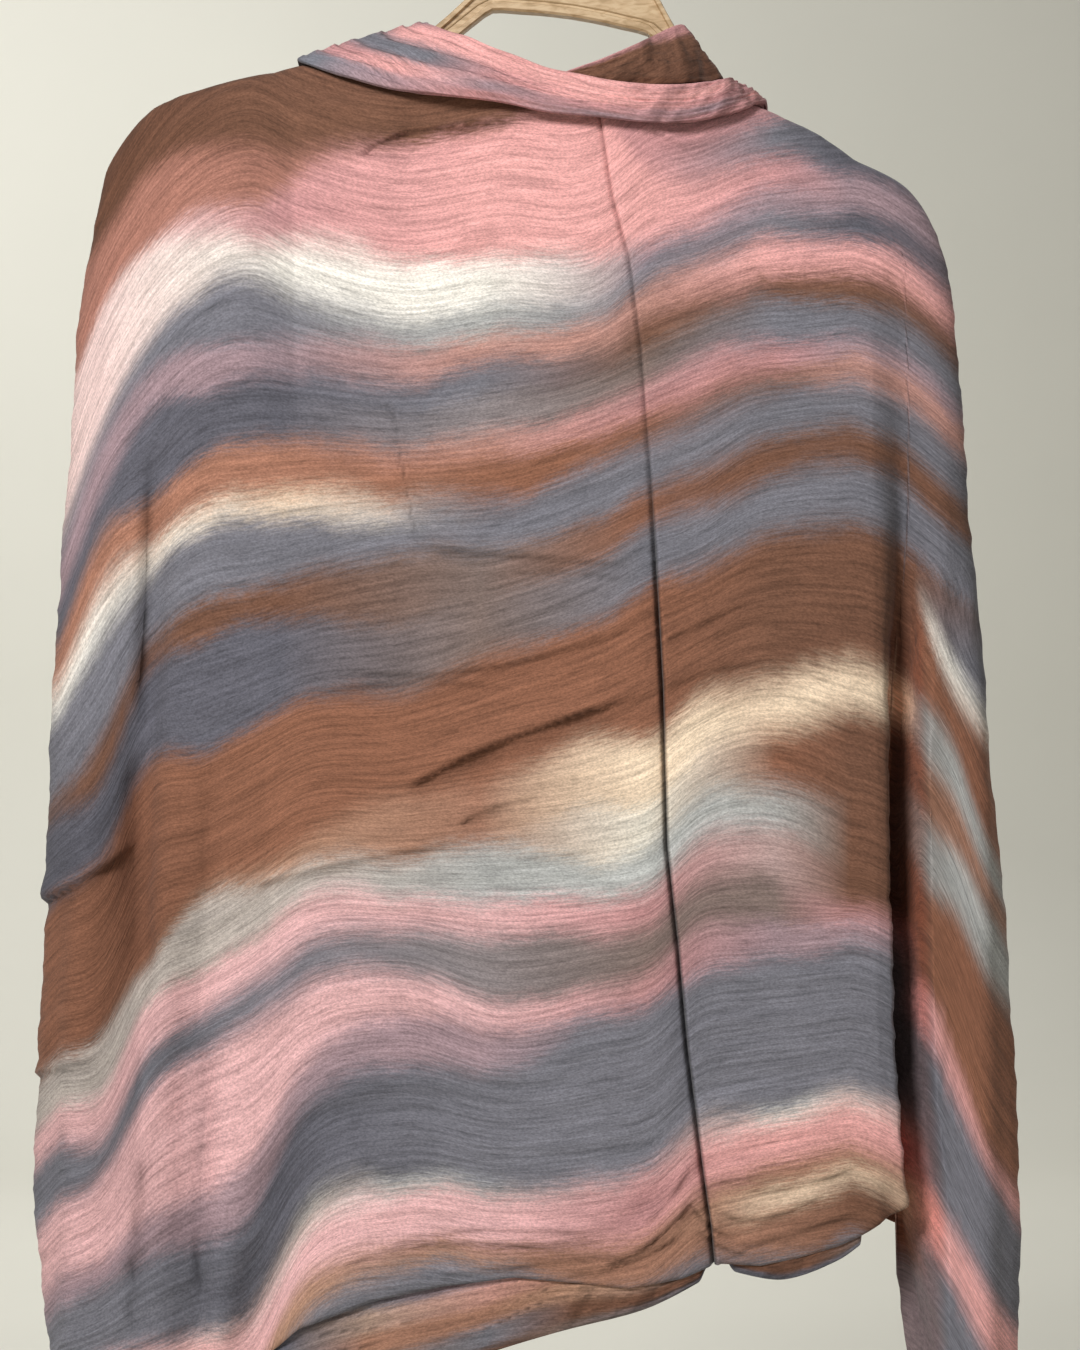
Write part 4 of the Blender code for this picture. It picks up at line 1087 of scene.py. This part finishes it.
def rollForm(roll, grid):
    # the place of each point, how far along and across it is, its dye's shift and its light, which is painted
    # shade
    cuts = np.asarray(roll["cuts"], float)
    last, seed = len(cuts) - 1, roll["seed"]
    turn, t = (grid[:, 0] + 1) * np.pi, (grid[:, 1] + 1) / 2 * last
    cut, ahead, behind = (splineRows(cuts, t + step) for step in (0.0, 0.05, -0.05))
    near, far = cut[:, 0:3], cut[:, 3:6]
    tangent = unit((ahead[:, 0:3] + ahead[:, 3:6]) - (behind[:, 0:3] + behind[:, 3:6]))
    half = (near - far) / 2
    face = unit(np.cross(half, tangent))
    side, lift = np.cos(turn), np.sin(turn)
    marks = np.linspace(0, last, 200)
    steps = np.linalg.norm(np.diff(splineRows(cuts, marks)[:, 0:3], axis=0), axis=1)
    along = np.interp(t, marks, np.concatenate([[0], np.cumsum(steps)]))
    across = (1 - side) / 2  # 0 at the near edge, 1 at the far one

    driftAcross, strengthAcross = rolling["across"]
    drift = roll["twist"] * wander(along / rolling["along"], across * driftAcross, seed)
    swing, wavesAcross, bend, bendOver = rolling["uneven"]
    shift = drift + swing * np.sin(across * wavesAcross + seed + bend * np.sin(along / bendOver))
    phase = roll["pleats"] * across + shift
    saw = phase - np.floor(phase)
    strengthAlong, weak, strong = rolling["strengthOver"]
    noise = wander(along / strengthAlong, np.floor(phase) * strengthAcross, seed + 4)
    strength = rolling["weakest"] + (1 - rolling["weakest"]) * smoothStep(weak, strong, noise)
    steep, below = rolling["rise"]
    ridge = saw * (1 - smoothStep(rolling["crest"], 1.0, saw)) * steep - below
    ridge = roll["pleatDepth"] * strength * ridge
    fromCut, toCut, crumple = roll["crumple"]
    inCrumple = inAndOut((fromCut - 1, fromCut, toCut, toCut + 1), t)
    crumpleAlong, slant, crumpleAcross = rolling["crumpleOver"]
    crumpled = wander(along / crumpleAlong + across * slant, across * crumpleAcross, seed + 2)
    ridge = ridge + crumple * inCrumple * crumpled
    fine, fineAcross, fineAlong = rolling["fine"]
    ridge = ridge + fine * wander(across * fineAcross, along / fineAlong, seed + 6)
    ridge = ridge * np.clip(np.abs(lift) * rolling["fromEdge"], 0, 1)
    ridge = ridge * np.where(lift > 0, 1.0, rolling["inside"])
    bulge = np.sign(lift) * np.abs(lift) ** rolling["fullness"] * cut[:, 6] / 2
    drawIn, narrow, thin = rolling["ends"]
    ends = np.minimum(smoothStep(0, drawIn, t), 1 - smoothStep(last - drawIn, last, t))
    place = (near + far) / 2 + half * (side * (narrow + (1 - narrow) * ends))[:, None]
    place = place + face * ((bulge + ridge * ends) * (thin + (1 - thin) * ends))[:, None]

    # painted shade in each pleat's fold and in the crumples
    dark, darkAt, darkWide = rolling["foldShade"]
    light = 1 - dark * strength * np.exp(-(((saw - darkAt) / darkWide) ** 2)) * np.abs(lift)
    dark, starts, isFull = rolling["crumpleShade"]
    light = light * (1 - dark * inCrumple * smoothStep(starts, isFull, crumpled))
    flow = across * np.linalg.norm(near - far, axis=1) + np.where(lift > 0, 0, rolling["otherFace"])
    dyeShift = rolling["dyeFollows"] * shift / roll["pleats"]
    return place, t, across + dyeShift, light, np.stack([along, flow], -1)


def rollColour(colours, t, across):
    # the dye at each point, from the rows of dyes to either side of it
    keyCuts = [cut for cut, _ in colours]
    tints = np.array([[palette[dye] for dye in names.split()] for _, names in colours])
    wide = tints.shape[1] - 1
    spot = np.clip(across, 0, 1) * wide
    i = np.minimum(spot.astype(int), wide - 1)
    f = smoothStep(*rolling["mixOver"], spot - i)
    found = np.zeros((len(t), 3))
    for dye in range(wide + 1):
        share = np.where(i == dye, 1 - f, 0) + np.where(i + 1 == dye, f, 0)
        tint = [np.interp(t, keyCuts, tints[:, dye, channel]) for channel in range(3)]
        found += share[:, None] * np.stack(tint, -1)
    return found


def makeRoll(name, node, alongCount, aroundCount):
    # a flattened, pleated roll of cloth, grown from a grid whose two long edges are welded
    bm, grid = newGrid(aroundCount, alongCount)
    roll = rolls[name]
    place, t, across, light, uv = rollForm(roll, grid)
    movePoints(bm, place)
    index = bm.verts.layers.int.new("first")
    for i, vert in enumerate(bm.verts):
        vert[index] = i
    bmesh.ops.remove_doubles(bm, verts=bm.verts, dist=1e-6)
    bmesh.ops.holes_fill(bm, edges=[edge for edge in bm.edges if edge.is_boundary], sides=0)
    bmesh.ops.recalc_face_normals(bm, faces=bm.faces)
    kept = np.array([vert[index] for vert in bm.verts])
    bm.verts.layers.int.remove(index)
    piece = newPiece(name, bm, finish["cloth"])
    colours, streak = {}, rolling["streak"]
    # the dye with the painted shade of the folds multiplied in
    for attribute, shift in (("dye", 0.0), ("dyeUp", -streak), ("dyeDown", streak)):
        colours[attribute] = (rollColour(roll["colours"], t, across + shift) * light[:, None])[kept]
    paintCloth(piece, colours, uv[kept])
    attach(piece, "root")
    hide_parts(node)
    print(name, len(piece.data.polygons), "faces")
    return piece


collarRoll = makeRoll("collarRoll", "collar", 320, 120)
neckFold = makeRoll("neckFold", "neck_fold", 200, 80)
hemRollLeft = makeRoll("hemRollLeft", "hem_roll_left", 240, 100)
hemRollRight = makeRoll("hemRollRight", "hem_roll_right", 80, 64)

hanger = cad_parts["hanger"]
hanger.data.materials.clear()
hanger.data.materials.append(finish["hanger"])
beading = {  # a fine raised line on the web, just inside the moulded rim
    "tilt": 8.5,  # degrees, about the point where the hook bears
    "hookBore": 19.0,
    "hookRise": 98.0,
    "inset": 7.2,  # mm from the web's lower edge
    "face": 2.4,  # mm from the middle plane out to the web's face
    "radius": 0.45,
    "foot": ((0, 4), (18, 3.4), (30, 2.4), (39, 1.8), (45, 0.8), (49, -2.2), (56, -9.6), (62, -16.2),
             (69, -23.2), (76.5, -31)),  # distance out and height of the lower edge
}


def hangerPlace(out, depth, up):
    tilt = math.radians(beading["tilt"])
    up = up - beading["hookRise"] - beading["hookBore"]
    x = out * math.cos(tilt) + up * math.sin(tilt) + beading["hookBore"] * math.sin(tilt)
    z = -out * math.sin(tilt) + up * math.cos(tilt) - beading["hookBore"] * (1 - math.cos(tilt))
    return Vector((x, depth, z)) * mm


def makeBeading():
    right = [Vector(row) for row in beading["foot"]]
    line = [Vector((-p.x, p.y)) for p in reversed(right[1:])] + right
    curve = bpy.data.curves.new("beading", "CURVE")
    curve.dimensions = "3D"
    curve.bevel_depth = beading["radius"] * mm
    curve.bevel_resolution = 2
    curve.use_fill_caps = True
    for face in (-beading["face"], beading["face"]):
        spline = curve.splines.new("POLY")
        spline.points.add(len(line) - 1)
        for i, point in enumerate(line):
            run = (line[min(i + 1, len(line) - 1)] - line[max(i - 1, 0)]).normalized()
            inside = point + Vector((-run.y, run.x)) * beading["inset"]
            spline.points[i].co = (*hangerPlace(inside.x, face, inside.y), 1)
    drawn = bpy.data.objects.new("beading", curve)
    bm = bmesh.new()
    bm.from_mesh(bpy.data.meshes.new_from_object(drawn))
    bpy.data.objects.remove(drawn)
    bmesh.ops.remove_doubles(bm, verts=bm.verts, dist=1e-6)
    bmesh.ops.recalc_face_normals(bm, faces=bm.faces)
    piece = newPiece("hangerBeading", bm, finish["beading"])
    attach(piece, "root")


makeBeading()
print("hanger finished")

studio = {
    "floorDrop": 0.35,  # below the tails
    "floorHalf": 6.0,
    "wallAway": 3.4,
    "wallHigh": 5.0,
    "cove": 0.8,  # how far the bend between floor and wall reaches along each
    "lamps": {  # where each stands, what it is aimed at, its size in metres and watts
        "key": ((-1.15, -2.2, 0.8), (-0.03, 0.0, -0.5), 0.7, 66.0),
        "fill": ((1.3, -2.3, -0.1), (-0.03, 0.0, -0.5), 2.2, 7.0),
        "back": ((0.6, 2.4, 0.9), (-0.03, 0.0, -0.5), 2.2, 26.0),
        "wash": ((-1.5, 1.2, 0.9), (-0.7, 3.4, 0.25), 1.2, 46.0),
    },
    "air": "#E8E6DF",
    "airStrength": 0.26,
}


def makeSweep():
    bm = bmesh.new()
    bmesh.ops.create_grid(bm, x_segments=1, y_segments=1, size=studio["floorHalf"])
    rim = [e for e in bm.edges if all(v.co.y > 0 for v in e.verts)]
    for v in bm.verts:
        v.co.z = cadLow.z - studio["floorDrop"]
        v.co.y = min(v.co.y, studio["wallAway"])
    grown = bmesh.ops.extrude_edge_only(bm, edges=rim)
    for v in grown["geom"]:
        if isinstance(v, bmesh.types.BMVert):
            v.co.z += studio["wallHigh"]
    bmesh.ops.recalc_face_normals(bm, faces=bm.faces)
    corner = [e for e in bm.edges if len(e.link_faces) == 2]
    bmesh.ops.bevel(bm, geom=corner, offset=studio["cove"], segments=12, profile=0.5, affect="EDGES",
                    material=-1)
    newPiece("paperSweep", bm, paperMaterial())


def makeLights(scene):
    for name, (at, target, size, watts) in studio["lamps"].items():
        light = bpy.data.lights.new(name, "AREA")
        light.size = size
        light.energy = watts
        lamp = bpy.data.objects.new(name, light)
        scene.collection.objects.link(lamp)
        lamp.location = at
        lamp.rotation_euler = (Vector(target) - Vector(at)).to_track_quat("-Z", "Y").to_euler()
        lamp.visible_camera = False
    world = bpy.data.worlds.new("studioAir")
    world.use_nodes = True
    background = world.node_tree.nodes["Background"]
    background.inputs[0].default_value = (*toLinear(studio["air"]), 1)
    background.inputs[1].default_value = studio["airStrength"]
    scene.world = world
    scene.view_settings.view_transform = "Standard"


def makeCamera(scene):
    # the image's middle is this far from the origin, which lies above its upper edge
    acrossX, downY = (c - h for c, h in zip(picture["centre"], picture["hookAt"]))
    k = picture["mmPerPixel"] * mm
    camera = bpy.data.cameras.new("camera")
    camera.lens = picture["lens"]
    camera.sensor_width = picture["sensor"]
    viewer = bpy.data.objects.new("camera", camera)
    scene.collection.objects.link(viewer)
    viewer.location = (acrossX * k, -picture["distance"] * mm, -downY * k)
    viewer.rotation_euler = (math.radians(90), 0, 0)
    scene.camera = viewer


makeSweep()
makeLights(bpy.context.scene)
makeCamera(bpy.context.scene)
print("studio made")
